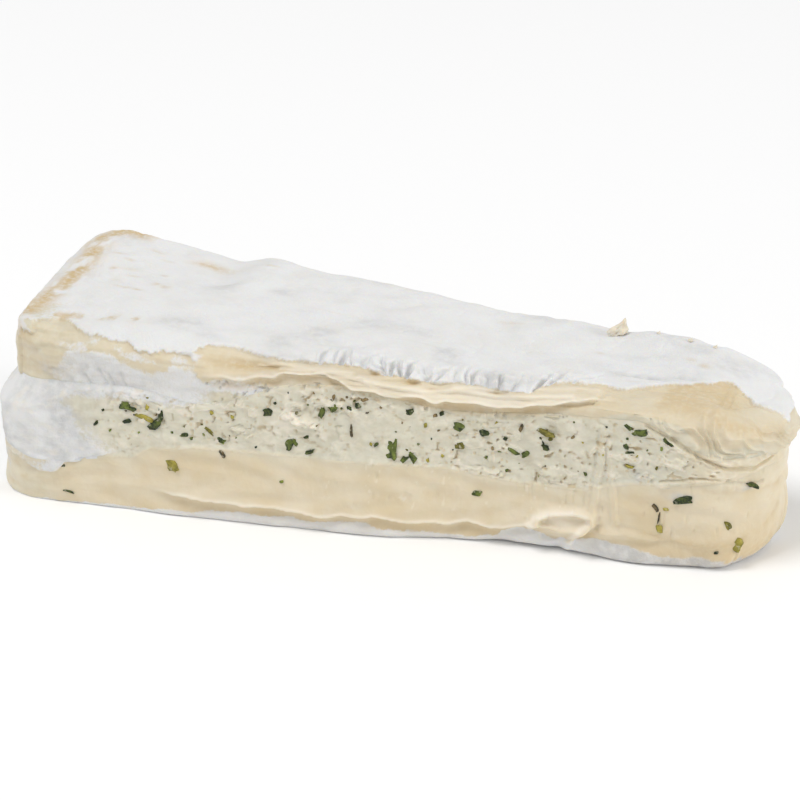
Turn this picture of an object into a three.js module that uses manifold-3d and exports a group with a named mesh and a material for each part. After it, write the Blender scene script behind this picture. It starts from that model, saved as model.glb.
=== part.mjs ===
// A slice of stuffed brie lying on its rind: two halves of a soft white-rinded cheese with a herbed fresh
// cheese filling between them. Millimetres, +Z up. x runs from the wheel's rim (0) to the slice's nose, the
// long front cut faces -Y, and the slice stands on z = 0 until the last lines centre it.
// Each layer is one solid: rings of points round the slice, from the layer's foot to its head, and two caps.
import * as THREE from 'three';
import { mergeVertices } from 'three/addons/utils/BufferGeometryUtils.js';
import Module from 'manifold-3d';

const wasm = await Module();
wasm.setup();

// Driving dimensions of the slice.
const LENGTH = 170;
const RIM_WIDTH = 62;
const NOSE_WIDTH = 29;
const WHEEL_RADIUS = 140;
const RIM_CORNER = 12;
const NOSE_CORNER = 12.5;
const SEAM_GAP = 0.3;

// How the slice varies along its length: [x, value] pairs, joined smoothly by curve().
const FRONT_WAVE = [[0, 0.6], [20, 0.6], [50, 1.6], [85, 1.6], [106, -1.6], [122, -1.2], [140, 0.9], [156, 1.6], [168, 0]];
const TOP = [[0, 37.5], [9, 39.5], [35, 39.8], [60, 38.6], [85, 38], [108, 36.2], [135, 35.8], [150, 35.7], [170, 31]];
const LOW_FRONT = [[0, 12], [17, 10], [34, 12.2], [40, 15], [50, 16.4], [88, 16.8], [125, 14.6], [145, 18.5], [170, 21.5]];
const LOW_BACK = [[0, 12], [30, 14], [70, 15.5], [110, 15], [140, 16.5], [170, 21.5]];
const HIGH_FRONT = [[0, 26.5], [33, 28.6], [50, 26.6], [72, 33], [80, 33.6], [104, 29], [142, 32.2], [157, 26.6], [170, 25.6]];
const HIGH_BACK = [[0, 26.5], [40, 29], [80, 30], [120, 28.8], [145, 28.5], [170, 25.6]];
const BROW_IN = [[0, 6], [12, 8], [35, 9], [60, 8], [100, 7], [120, 6], [140, 8], [155, 10], [168, 9]];
const BROW_DROP = [[0, 5], [12, 6], [50, 5], [70, 3], [82, 3], [100, 4.6], [118, 3.6], [142, 2.4], [158, 5.8], [170, 4]];
const FOOT_IN = [[0, 0.3], [20, 0.8], [104, 1.2], [118, 4], [130, 3], [142, 1.5], [158, 3], [170, 5]];
const FOOT_RISE = [[0, 1.2], [104, 1.6], [118, 3.2], [130, 2.6], [142, 2], [158, 4], [170, 9]];
const BACK_BROW_IN = 4;
const BACK_BROW_DROP = 3.5;

// The lips that the knife drew along the front cut, each as the height of its edge.
const UPPER_LIP = [[70, 35], [80, 36], [88, 34.1], [97, 32], [108, 33], [117, 32], [124, 33.6], [138, 36]];
const LOWER_LIP = [[40, 3.6], [58, 4.4], [71, 3.4], [79, 5], [96, 3.8], [117, 4.6], [128, 5.8]];

// How far each layer draws back from the outline at the rim and at the nose.
const RIM_DEPTH = 28;
const NOSE_DEPTH = 20;
const BOTTOM_SET = { rim: 0.5, nose: 1.3 };
const FILLING_SET = { rim: 0, nose: 0.8 };
const TOP_SET = { rim: 4.2, nose: -0.4 };

// Points along and across the slice, and the levels of a wall and of a rounded edge.
const ALONG = 68;
const ACROSS = 10;
const WALL_LEVELS = 6;
const EDGE_LEVELS = 4;

const lerp = (from, to, k) => from + (to - from) * k;
const clamp = (value) => Math.min(1, Math.max(0, value));
const bell = (value, centre, reach) => Math.exp(-(((value - centre) / reach) ** 2));

function ease(from, to, value) {
  const k = clamp((value - from) / (to - from));
  return k * k * (3 - 2 * k);
}

// The value at t of the smooth curve through knots.
function curve(t, knots) {
  const next = knots.findIndex(([at]) => at > t);
  if (next === 0) return knots[0][1];
  if (next < 0) return knots[knots.length - 1][1];
  const [from, to] = [knots[next - 1], knots[next]];
  return lerp(from[1], to[1], ease(from[0], to[0], t));
}

// A repeatable draw between 0 and 1 for the item i and the purpose k.
function draw(i, k) {
  const value = Math.sin(i * 12.9898 + k * 78.233) * 43758.5453;
  return value - Math.floor(value);
}

// Uneven ground between -1 and 1, with lumps some 10 mm across.
function ripple(u, v) {
  return Math.sin(0.31 * u + 1.7 * Math.sin(0.23 * v)) * Math.sin(0.37 * v + 1.3 * Math.sin(0.19 * u));
}

// 0 on the front cut, 1 on the back cut.
const backness = (y) => ease(-12, 12, y);

// The outline, moved in by inset. a and b run from -1 to 1 along and across; on the edge of that square the
// point lies on the wedge's sides, its rounded corners and the rim's arc.
function outline(a, b, inset) {
  let x = inset + ((a + 1) / 2) * (LENGTH - 2 * inset);
  const half = lerp(RIM_WIDTH, NOSE_WIDTH, x / LENGTH) / 2 - inset;
  let y = b * half;
  const towardsEnd = x < LENGTH / 2 ? -1 : 1;
  const radius = (towardsEnd < 0 ? RIM_CORNER : NOSE_CORNER) - inset;
  const centreX = towardsEnd < 0 ? inset + radius : LENGTH - inset - radius;
  const overX = (x - centreX) * towardsEnd;
  const overY = Math.abs(y) - (half - radius);
  if (overX > 0 && overY > 0) {
    const pull = Math.max(overX, overY) / Math.hypot(overX, overY);
    x = centreX + towardsEnd * overX * pull;
    y = Math.sign(y) * (half - radius + overY * pull);
  }
  y -= curve(x, FRONT_WAVE) * ease(0, -8, y);
  x += ((y * y) / (2 * WHEEL_RADIUS)) * clamp(1 - x / 40);
  return [x, y];
}

// Heights of the top rind and of the two seams.
function topHeight(x, y) {
  const back = ease(0, 14, y);
  const corner = 1.6 * bell(x, 8, 14) * clamp(y / 20);
  const valley = -1.8 * bell(x, 40, 5) + 0.6 * bell(x, 49, 6) - 1.2 * bell(x, 31, 9);
  const crown = 1 * bell(x, 118, 12) + 2.3 * bell(x, 141, 13);
  return curve(x, TOP) + corner + (valley + crown) * back + 0.25 * ripple(x, y);
}

const lowSeam = (x, y) => lerp(curve(x, LOW_FRONT), curve(x, LOW_BACK), backness(y));
const highSeam = (x, y) => lerp(curve(x, HIGH_FRONT), curve(x, HIGH_BACK), backness(y));

// Relief of the walls: how far a layer stands out of the outline at a point of its wall.
function bottomRelief(x, y, z) {
  if (y > 0) return 0.5 * ripple(x + 30, 2 * z) + 0.7 * bell(z, 4, 1.2) * ease(20, 60, x);
  const along = ease(38, 46, x) * ease(132, 124, x);
  const lip = 1.1 * bell(z, curve(x, LOWER_LIP), 1) - 0.7 * bell(z, curve(x, LOWER_LIP) - 2, 0.9);
  const curl = 2.2 * bell(x, 126, 5) * bell(z, 10 - 0.5 * (x - 126), 2.6);
  const smear = 0.9 * ease(33, 24, x) * ease(6.5, 8.5, z);
  return along * lip + curl + smear + 0.25 * ripple(x, 2 * z);
}

function fillingRelief(x, y, z) {
  const middle = ease(30, 50, x) * ease(150, 135, x);
  const sloped = 3.2 * (1 - ease(0, RIM_DEPTH, x)) * ease(20, 26.5, z);
  if (y > 0) return 0.4 * ripple(2 * x, 3 * z) - 0.6 * middle - sloped;
  const curd = 0.9 * bell(x, 72, 2.8) * bell(z, 25.5, 1.5);
  const dragged = 0.5 * bell(x, 133, 1.2) - 0.5 * bell(x, 136, 1.2);
  return curd + dragged - 0.8 * middle - sloped + 0.3 * ripple(2 * x, 3 * z);
}

function topRelief(x, y, z) {
  if (y > 0) return 0.5 * ripple(x + 60, 2 * z) + 0.6 * bell(z, 32, 1.2) * ease(20, 60, x);
  const edge = curve(x, UPPER_LIP);
  const along = ease(72, 80, x) * ease(140, 132, x);
  const lip = 1.2 * bell(z, edge, 1.1) - 0.8 * bell(z, edge - 2.2, 1);
  const cup = -1.9 * bell(x, 63, 9) * bell(z, 32.5, 2.2);
  const nose = 0.9 * bell(x, 152, 7) * bell(z, 30, 3) - 0.8 * bell(x, 147, 4) * bell(z, 35, 3);
  return along * lip + cup + nose + 0.3 * ripple(x, 2 * z);
}

// Pleats where the knife bent the top rind over the front cut: depth at x.
function pleats(x, y) {
  if (y > 0) return 0.3 * ripple(3 * x, y);
  let depth = 0;
  for (let i = 0; i < 14; i += 1) {
    const at = lerp(34, 132, (i + 0.6 * draw(i, 1)) / 14);
    depth -= lerp(0.5, 1.3, draw(i, 2)) * bell(x, at, lerp(1.4, 2.4, draw(i, 3)));
  }
  return depth + 0.6 * bell(x, 104, 5);
}

// How far a layer stands out at a place of its outline, with its draw-back at the rim and the nose.
function standOut(set, relief, x, y, z) {
  return relief(x, y, z) - set.rim * (1 - ease(0, RIM_DEPTH, x)) - set.nose * ease(LENGTH - NOSE_DEPTH, LENGTH, x);
}

// A point of a layer's wall, at the height z.
function wallPoint(layer, a, b, z) {
  const [x, y] = outline(a, b, 0);
  return [...outline(a, b, -standOut(layer.set, layer.relief, x, y, z)), z];
}

// A point of the rounded edge under the bottom layer: turn 0 lies on the floor, PI / 2 on the wall.
function footPoint(layer, a, b, turn) {
  const [x, y] = outline(a, b, 0);
  const rise = curve(x, FOOT_RISE);
  const z = rise * (1 - Math.cos(turn));
  const out = standOut(layer.set, layer.relief, x, y, rise) * Math.sin(turn) - layer.set.rim * Math.cos(turn);
  return [...outline(a, b, curve(x, FOOT_IN) * (1 - Math.sin(turn)) - out), z];
}

// The rounded edge of the top rind: how far in it ends, and how far down it starts.
function brow(x, y) {
  return [lerp(curve(x, BROW_IN), BACK_BROW_IN, backness(y)), lerp(curve(x, BROW_DROP), BACK_BROW_DROP, backness(y))];
}

// A point of that edge: turn 0 lies on the wall, PI / 2 on the top face.
function browPoint(layer, a, b, turn) {
  const [x, y] = outline(a, b, 0);
  const [inset, drop] = brow(x, y);
  const start = topHeight(...outline(a, b, inset)) - drop;
  const out = standOut(layer.set, layer.relief, x, y, start) * Math.cos(turn);
  const fold = pleats(x, y) * Math.sin(2 * turn) ** 2;
  const at = outline(a, b, inset * (1 - Math.cos(turn)) - out - fold * Math.cos(turn));
  return [...at, start + drop * Math.sin(turn) + fold * Math.sin(turn)];
}

// The square's edge once round, against the clock from the rim's front corner.
function roundTheEdge() {
  const stations = [];
  const at = (i, j) => stations.push([(2 * i) / ALONG - 1, (2 * j) / ACROSS - 1]);
  for (let i = 0; i < ALONG; i += 1) at(i, 0);
  for (let j = 0; j < ACROSS; j += 1) at(ALONG, j);
  for (let i = ALONG; i > 0; i -= 1) at(i, ACROSS);
  for (let j = ACROSS; j > 0; j -= 1) at(0, j);
  return stations;
}

// Collects triangles and ends as one closed geometry whose shared corners are merged.
class Skin {
  constructor() {
    this.positions = [];
  }

  triangle(p, q, r) {
    this.positions.push(...p, ...q, ...r);
  }

  quad(p, q, r, s) {
    this.triangle(p, q, r);
    this.triangle(p, r, s);
  }

  geometry() {
    const geometry = new THREE.BufferGeometry();
    geometry.setAttribute('position', new THREE.Float32BufferAttribute(this.positions, 3));
    return mergeVertices(geometry);
  }
}

// The walls between rings, from the lowest ring up.
function addWalls(skin, rings) {
  for (let k = 1; k < rings.length; k += 1) {
    const [low, high] = [rings[k - 1], rings[k]];
    low.forEach((point, i) => {
      const next = (i + 1) % low.length;
      skin.quad(point, low[next], high[next], high[i]);
    });
  }
}

// A cap of straight strips from the front edge to the back edge, with a fan at each end.
function addStripCap(skin, ring, faceUp) {
  const turned = (p, q, r) => (faceUp ? skin.triangle(p, q, r) : skin.triangle(p, r, q));
  const nose = ALONG + ACROSS;
  const backAt = (i) => ring[nose + ALONG - i];
  for (let i = 0; i < ALONG; i += 1) {
    turned(ring[i], ring[i + 1], backAt(i + 1));
    turned(ring[i], backAt(i + 1), backAt(i));
  }
  for (let j = ALONG + 1; j < nose; j += 1) turned(ring[ALONG], ring[j], ring[j + 1]);
  for (let j = nose + ALONG; j < ring.length - 1; j += 1) turned(ring[0], ring[j], ring[j + 1]);
}

// The top face: a grid over the whole square that follows the rind's height.
function addTopCap(skin) {
  const at = (i, j) => {
    const [a, b] = [(2 * i) / ALONG - 1, (2 * j) / ACROSS - 1];
    const [inset] = brow(...outline(a, b, 0));
    const [x, y] = outline(a, b, inset);
    return [x, y, topHeight(x, y)];
  };
  for (let i = 0; i < ALONG; i += 1) {
    for (let j = 0; j < ACROSS; j += 1) skin.quad(at(i, j), at(i + 1, j), at(i + 1, j + 1), at(i, j + 1));
  }
}

// Rings up a layer's wall, from the height foot(x, y) to head(x, y).
function wallRings(layer, foot, head) {
  const rings = [];
  for (let k = 0; k <= WALL_LEVELS; k += 1) {
    rings.push(roundTheEdge().map(([a, b]) => {
      const [x, y] = outline(a, b, 0);
      return wallPoint(layer, a, b, lerp(foot(x, y, a, b), head(x, y, a, b), k / WALL_LEVELS));
    }));
  }
  return rings;
}

// Rings round a rounded edge, from turn 0 to PI / 2.
function edgeRings(layer, point) {
  const rings = [];
  for (let k = 0; k <= EDGE_LEVELS; k += 1) {
    const turn = ((Math.PI / 2) * k) / EDGE_LEVELS;
    rings.push(roundTheEdge().map(([a, b]) => point(layer, a, b, turn)));
  }
  return rings;
}

const bottomLayer = { set: BOTTOM_SET, relief: bottomRelief };
const fillingLayer = { set: FILLING_SET, relief: fillingRelief };
const topLayer = { set: TOP_SET, relief: topRelief };

// The lower half: rounded foot, wall up to the filling, flat underside.
function bottomGeometry() {
  const skin = new Skin();
  const foot = edgeRings(bottomLayer, footPoint);
  const wall = wallRings(bottomLayer, (x) => curve(x, FOOT_RISE), (x, y) => lowSeam(x, y) - SEAM_GAP / 2);
  const rings = [...foot, ...wall.slice(1)];
  addWalls(skin, rings);
  addStripCap(skin, rings[0], false);
  addStripCap(skin, rings[rings.length - 1], true);
  return skin.geometry();
}

function fillingGeometry() {
  const skin = new Skin();
  const rings = wallRings(
    fillingLayer,
    (x, y) => lowSeam(x, y) + SEAM_GAP / 2,
    (x, y) => highSeam(x, y) - SEAM_GAP / 2,
  );
  addWalls(skin, rings);
  addStripCap(skin, rings[0], false);
  addStripCap(skin, rings[rings.length - 1], true);
  return skin.geometry();
}

// The upper half: wall from the filling up, rounded brow, uneven top rind.
function topGeometry() {
  const skin = new Skin();
  const browFoot = (x, y, a, b) => {
    const [inset, drop] = brow(x, y);
    return topHeight(...outline(a, b, inset)) - drop;
  };
  const wall = wallRings(topLayer, (x, y) => highSeam(x, y) + SEAM_GAP / 2, browFoot);
  const rings = [...wall, ...edgeRings(topLayer, browPoint).slice(1)];
  addWalls(skin, rings);
  addStripCap(skin, rings[0], false);
  addTopCap(skin);
  return skin.geometry();
}

// A geometry as a solid that can be joined to another.
function solid(geometry) {
  const bare = geometry.clone();
  bare.deleteAttribute('normal');
  bare.deleteAttribute('uv');
  const merged = mergeVertices(bare);
  return new wasm.Manifold(new wasm.Mesh({
    numProp: 3,
    vertProperties: new Float32Array(merged.attributes.position.array),
    triVerts: new Uint32Array(merged.index.array),
  }));
}

function geometryOf(manifold) {
  const mesh = manifold.getMesh();
  const geometry = new THREE.BufferGeometry();
  geometry.setAttribute('position', new THREE.Float32BufferAttribute(mesh.vertProperties, 3));
  geometry.setIndex(new THREE.Uint32BufferAttribute(mesh.triVerts, 1));
  return geometry;
}

// Herbs: pieces of chive and leaf set in a cut, on average half sunk.
const HERB_DEPTH = 2;
const HERB_PROUD = 0.45;
const CUT_TURN = Math.atan((RIM_WIDTH - NOSE_WIDTH) / 2 / LENGTH);
const FRONT = -1;
const BACK = 1;

// The largest pieces of the front cut, each as x, z, length, width and turn in degrees.
const FRONT_HERBS = [
  [33.4, 24.5, 4.4, 2.6, 20], [37.8, 22.1, 4.6, 1.8, 165], [41, 22, 5.6, 1.8, 65], [46.1, 19.2, 3, 1.2, 10],
  [52.6, 19.2, 4.8, 1, 155], [64.6, 26.3, 2.6, 2, 0], [69, 19.2, 3, 2.4, 60], [76.3, 27.6, 3, 1.4, 80],
  [78.6, 29.6, 2.6, 2, 130], [82.6, 23.9, 3.4, 0.9, 95], [91.1, 21.2, 6, 2.5, 85], [94.2, 18.9, 3.6, 1.8, 50],
  [103.7, 25.9, 3.8, 1.8, 160], [104.4, 21.5, 3.4, 1.8, 20], [109.5, 25, 2.2, 1.6, 40], [117.6, 21.2, 4.4, 1.2, 160],
  [122.9, 27.8, 4, 1.8, 155], [121.9, 24.6, 2.8, 2, 130], [142.4, 29.8, 4.2, 1.6, 10], [139.9, 25.4, 2.6, 1.6, 20],
];
const BOTTOM_HERBS = [
  [43.9, 11.8, 3.4, 2.8, 100], [108.2, 11.4, 2.4, 1.2, 0], [150.8, 15.6, 3.6, 1.4, 10], [163.2, 6.6, 3.4, 2.2, 70],
];
const SMALL_FRONT_HERBS = 14;
const BACK_HERBS = 24;

// One piece of herb in the cut at x, z: a short prism of six sides, its axis square to the cut.
function herb(layer, side, [x, z, long, wide, degrees]) {
  const prism = new THREE.CylinderGeometry(0.5, 0.42, HERB_DEPTH, 6);
  prism.scale(long, 1, wide);
  prism.rotateY(THREE.MathUtils.degToRad(degrees));
  prism.rotateZ(side === BACK ? 0 : Math.PI);
  prism.rotateZ(side * CUT_TURN);
  const [atX, atY] = wallPoint(layer, (2 * x) / LENGTH - 1, side, z);
  prism.translate(atX, atY - side * (HERB_DEPTH / 2 - HERB_PROUD), z);
  return solid(prism);
}

// Small pieces strewn over a cut by a fixed rule, clear of the seams.
function strewnHerbs(side, count) {
  const pieces = [];
  for (let i = 0; i < count; i += 1) {
    const x = lerp(20, 148, (i * 0.618 + 0.37) % 1);
    const long = lerp(1.4, side === BACK ? 4.2 : 2.2, draw(i, side + 4) ** 2);
    const low = lowSeam(x, side * 15) + SEAM_GAP + long / 2 + 0.4;
    const high = highSeam(x, side * 15) - SEAM_GAP - long / 2 - 0.4;
    const z = lerp(low, high, (i * 0.7549 + 0.11) % 1);
    pieces.push([x, z, long, lerp(1.1, 1.9, draw(i, side + 6)), 180 * draw(i, side + 8)]);
  }
  return pieces;
}

// A crumb of fresh cheese on the back edge of the top rind.
function crumb() {
  const stone = new THREE.IcosahedronGeometry(1, 1);
  const position = stone.attributes.position;
  for (let i = 0; i < position.count; i += 1) {
    const [x, y, z] = [position.getX(i), position.getY(i), position.getZ(i)];
    const bulk = 1 + 0.22 * Math.sin(5 * x + 3 * z) * Math.cos(4 * y);
    position.setXYZ(i, (2.3 * x + 0.5 * z) * bulk, 1.6 * y * bulk, 2.1 * z * bulk);
  }
  const [x, y] = [126, 13.5];
  stone.translate(x, y, topHeight(x, y) + 1.1);
  return solid(stone);
}

// The layers, from the floor up, each with what is fused to it.
function bottomHalf() {
  let body = solid(bottomGeometry());
  for (const piece of BOTTOM_HERBS) body = body.add(herb(bottomLayer, FRONT, piece));
  return geometryOf(body);
}

function herbFilling() {
  let body = solid(fillingGeometry());
  for (const piece of FRONT_HERBS) body = body.add(herb(fillingLayer, FRONT, piece));
  for (const piece of strewnHerbs(FRONT, SMALL_FRONT_HERBS)) body = body.add(herb(fillingLayer, FRONT, piece));
  for (const piece of strewnHerbs(BACK, BACK_HERBS)) body = body.add(herb(fillingLayer, BACK, piece));
  return geometryOf(body);
}

function topHalf() {
  return geometryOf(solid(topGeometry()).add(crumb()));
}

// A named layer in its own colour.
function layerMesh(name, geometry, colour, roughness) {
  const material = new THREE.MeshStandardMaterial({ color: colour, roughness, metalness: 0 });
  geometry.computeVertexNormals();
  const mesh = new THREE.Mesh(geometry, material);
  mesh.name = name;
  return mesh;
}

const group = new THREE.Group();
group.add(layerMesh('brie_bottom', bottomHalf(), '#dccdb0', 0.5));
group.add(layerMesh('herb_filling', herbFilling(), '#d6d3c4', 0.65));
group.add(layerMesh('brie_top', topHalf(), '#e8e8e4', 0.8));

// The origin is the middle of the box's underside.
const box = new THREE.Box3().setFromObject(group);
const middle = box.getCenter(new THREE.Vector3());
group.position.set(-middle.x, -middle.y, -box.min.z);
group.updateMatrixWorld(true);

export default group;
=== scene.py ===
"""A slice of stuffed brie on a pale floor: two halves of soft white-rinded cheese round a herbed filling.

Shapes are worked out in millimetres in the slice's own coordinates: x from the wheel's rim (0) to the
slice's nose, the front cut towards -y, z up from the floor. in_frame() takes them to metres in the frame.
On the upper half, s is the height unrolled: z up the wall, then on along the rounded edge and over the top.
"""

import bpy
import numpy as np
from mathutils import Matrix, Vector


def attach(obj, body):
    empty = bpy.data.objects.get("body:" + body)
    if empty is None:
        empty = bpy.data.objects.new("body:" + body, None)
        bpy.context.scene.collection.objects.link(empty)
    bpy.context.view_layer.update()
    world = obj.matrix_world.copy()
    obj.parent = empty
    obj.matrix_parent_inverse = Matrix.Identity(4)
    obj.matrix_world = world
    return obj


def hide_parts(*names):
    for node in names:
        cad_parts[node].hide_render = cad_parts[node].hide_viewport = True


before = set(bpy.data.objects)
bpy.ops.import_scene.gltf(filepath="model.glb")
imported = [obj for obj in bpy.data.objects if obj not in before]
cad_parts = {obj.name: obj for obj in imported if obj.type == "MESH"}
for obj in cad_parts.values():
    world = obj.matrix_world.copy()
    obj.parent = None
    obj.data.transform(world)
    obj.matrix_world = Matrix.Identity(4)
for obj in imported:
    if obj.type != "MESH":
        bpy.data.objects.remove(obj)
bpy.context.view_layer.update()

# Driving dimensions of the slice, in mm, as in the solids.
LENGTH = 170.0
RIM_WIDTH = 62.0
NOSE_WIDTH = 29.0
WHEEL_RADIUS = 140.0
RIM_CORNER = 12.0
NOSE_CORNER = 12.5
ORIGIN = (85.15, -0.61)

# How the slice varies along its length: (x, value) knots of smooth curves.
FRONT_WAVE = [
    (0, 0.6), (20, 0.6), (50, 1.6), (85, 1.6), (106, -1.6), (122, -1.2), (140, 0.9), (156, 1.6), (168, 0),
]
TOP = [
    (0, 37.5), (9, 39.5), (35, 39.8), (60, 38.6), (85, 38), (108, 36.2), (135, 35.8), (150, 35.7),
    (170, 31),
]
LOW_FRONT = [
    (0, 12), (17, 10), (34, 12.2), (40, 15), (50, 16.4), (88, 16.8), (125, 14.6), (145, 18.5), (170, 21.5),
]
LOW_BACK = [(0, 12), (30, 14), (70, 15.5), (110, 15), (140, 16.5), (170, 21.5)]
HIGH_FRONT = [
    (0, 26.5), (33, 28.6), (50, 26.6), (72, 33), (80, 33.6), (104, 29), (142, 32.2), (157, 26.6),
    (170, 25.6),
]
HIGH_BACK = [(0, 26.5), (40, 29), (80, 30), (120, 28.8), (145, 28.5), (170, 25.6)]
BROW_IN = [(0, 6), (12, 8), (35, 9), (60, 8), (100, 7), (120, 6), (140, 8), (155, 10), (168, 9)]
BROW_DROP = [
    (0, 5), (12, 6), (50, 5), (70, 3), (82, 3), (100, 4.6), (118, 3.6), (142, 2.4), (158, 5.8), (170, 4),
]
FOOT_IN = [(0, 0.3), (20, 0.8), (104, 1.2), (118, 4), (130, 3), (142, 1.5), (158, 3), (170, 5)]
FOOT_RISE = [(0, 1.2), (104, 1.6), (118, 3.2), (130, 2.6), (142, 2), (158, 4), (170, 9)]
BACK_BROW_IN = 4.0
BACK_BROW_DROP = 3.5

# Lines along the front cut, as (x, s): where the rinds end, and the lips that the knife drew.
RIND_EDGE = [
    (0, 38), (9, 38), (13, 43.7), (17, 45.5), (21, 41.2), (27, 40.2), (33, 39.2), (39, 38.4), (46, 39),
    (51, 41.7), (58, 41.7), (64, 40.5), (68, 39.8), (71, 40.4), (83, 40.4), (90, 38.2), (97, 36.8),
    (99, 36), (103, 36.6), (109, 36.4), (114, 35.8), (118.7, 36), (120.3, 37.8), (122, 39.2), (126, 40.8),
    (129, 41.3), (133, 42.7), (137, 42), (140, 43.9), (147, 46.4), (152, 48.6), (156, 51), (160, 49),
    (163, 46), (166, 39), (170, 33),
]
UPPER_LIP = [
    (46, 32.8), (50, 32.6), (57, 33), (65, 34.4), (68.6, 35.9), (76.5, 36.6), (79, 35.4), (84, 33.5),
    (87, 33.2), (90, 32.2), (96, 32.7), (100, 31.5), (102, 32), (112, 31.6), (116, 31.9), (122, 32.9),
    (128, 35), (133.7, 37.6), (138, 38.5),
]
FRESH_EDGE = [
    (16, 31), (20, 35.4), (30, 36.4), (33, 34.6), (36, 33), (42, 33.2), (44.5, 35.6), (48, 34.6),
    (51, 31.8), (57, 32.8), (63, 32.4), (70, 32.8), (76, 34), (82, 33), (93, 30.6), (104, 29.3), (116, 30),
    (129, 30.9), (142, 34), (150, 33), (156, 28),
]
LOWER_LIP = [
    (40, 5.4), (52, 4.8), (65, 4.4), (74, 3.8), (82, 4.8), (87, 4.9), (91, 4), (94, 3.7), (97, 4),
    (99, 3.8), (102, 3.3), (107, 4.5), (111, 4.3), (117, 5.4), (121, 6.2),
]
LOW_RIND_EDGE = [
    (0, 0.1), (6, 0.1), (18, 0.4), (28, 0.8), (46, 1.4), (56, 2.4), (68, 2.6), (74, 2.1), (84, 3.2),
    (90, 2), (99, 1.6), (107, 1.3), (112.4, 1.9), (113.6, 3.6), (117, 4.9), (121.6, 4.4), (124.6, 3),
    (129, 3.6), (134, 4.8), (139, 4.2), (143, 3.4), (148, 2.7), (155, 3.3), (162, 1.8), (166, 0.6),
    (170, 0.3),
]
BACK_RIND_EDGE = [(0, 35.5), (148, 34.5), (158, 32), (168, 28)]
NOSE_RIND_EDGE = 31.0

# In plan, the rind's edge across the nose, as (x, y).
NOSE_LINE = [
    (147, -3.8), (152, -1.4), (156.3, 2.1), (160, -0.1), (162.4, -1.4), (165, -2.2), (167.6, -2.6),
    (171, -4),
]

# How far each layer draws back from the outline at the rim and at the nose, and the reach of that.
BOTTOM_SET = (0.5, 1.3)
FILLING_SET = (0.0, 0.8)
TOP_SET = (4.2, -0.4)
RIM_DEPTH = 28.0
NOSE_DEPTH = 20.0
SEAM_OVERLAP = 0.35  # each layer runs on past the seam by this much, so that no gap shows
TUCK = 0.3  # and draws in by this much of the way that it runs on
NOSE_SIDE = 166.0  # past this x the outline runs across the nose
FAR = 99.0  # the unrolled height, from a side, of points that aren't on it

# Points along and across the slice, and the levels of points up each part of a layer. They keep each layer
# under 200,000 triangles.
ALONG = 600
ACROSS = 56
FOOT_LEVELS = 8
BOTTOM_WALL_LEVELS = 43
FILLING_LEVELS = 74
TOP_WALL_LEVELS = 22
BROW_LEVELS = 29


# Plain functions of arrays.
def ease(start, end, value):
    """0 before start, 1 after end, and the smooth step 3k^2 - 2k^3 between."""
    k = np.clip((value - start) / (end - start), 0, 1)
    return k * k * (3 - 2 * k)


def window(value, rise_from, rise_to, fall_from, fall_to):
    """1 from rise_to to fall_from, falling smoothly to 0 at rise_from and at fall_to."""
    return ease(rise_from, rise_to, value) * ease(fall_to, fall_from, value)


def bell(value, centre, reach):
    """exp(-d^2), with d the distance from centre in reaches."""
    return np.exp(-(((value - centre) / reach) ** 2))


def curve(t, knots):
    """The smooth curve through (t, value) knots: each stretch is a smooth step from one value to the next."""
    at, values = np.array(knots, float).T
    t = np.clip(t, at[0], at[-1])
    i = np.clip(np.searchsorted(at, t, side="right") - 1, 0, len(at) - 2)
    return values[i] + (values[i + 1] - values[i]) * ease(at[i], at[i + 1], t)


def stroke(u, v, line, width):
    """exp(-(d / width)^2), with d the distance from (u, v) to the broken line through the points of line."""
    nearest = np.inf
    for (from_u, from_v), (to_u, to_v) in zip(line, line[1:]):
        run_u, run_v = to_u - from_u, to_v - from_v
        k = np.clip(((u - from_u) * run_u + (v - from_v) * run_v) / (run_u**2 + run_v**2), 0, 1)
        nearest = np.minimum(nearest, (u - from_u - k * run_u) ** 2 + (v - from_v - k * run_v) ** 2)
    return np.exp(-nearest / width**2)


def ovals(u, v, places):
    """The sum of soft ovals, strength * exp(-d^2) with d in half sizes. Each place is its centre's u and v,
    its half length, half width and strength."""
    total = 0
    for at_u, at_v, long, wide, strength in places:
        total = total + strength * np.exp(-(((u - at_u) / long) ** 2) - ((v - at_v) / wide) ** 2)
    return total


def ripple(u, v):
    """Uneven ground between -1 and 1: a product of two bent sine waves, with lumps some 10 mm across."""
    return np.sin(0.31 * u + 1.7 * np.sin(0.23 * v)) * np.sin(0.37 * v + 1.3 * np.sin(0.19 * u))


def lattice_draw(i, j, k, seed):
    """A repeatable draw from 0 to 1 at each whole-numbered point: its coordinates times large odd numbers,
    summed, folded and multiplied again in 32 bits."""
    mixed = np.uint32(seed * 7919 + 17)
    for axis, odd in zip((i, j, k), (374761393, 668265263, 2246822519)):
        mixed = mixed + (np.asarray(axis).astype(np.int64) & 0xFFFFFFFF).astype(np.uint32) * np.uint32(odd)
    mixed = (mixed ^ (mixed >> np.uint32(13))) * np.uint32(1274126177)
    mixed = mixed ^ (mixed >> np.uint32(16))
    return (mixed & np.uint32(0xFFFFFF)) / float(0xFFFFFF)


def noise(x, y, z, size, seed=0):
    """Value noise from -1 to 1: draws at the points of a lattice of that size in mm, smoothly mixed."""
    p = [np.asarray(c, float) / s for c, s in zip((x, y, z), np.broadcast_to(size, 3))]
    low = [np.floor(c) for c in p]
    part = [c - f for c, f in zip(p, low)]
    part = [c * c * (3 - 2 * c) for c in part]
    total = 0
    for corner in range(8):
        step = [(corner >> axis) & 1 for axis in range(3)]
        weight = 1
        for c, up in zip(part, step):
            weight = weight * (c if up else 1 - c)
        total = total + weight * lattice_draw(low[0] + step[0], low[1] + step[1], low[2] + step[2], seed)
    return 2 * total - 1


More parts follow.
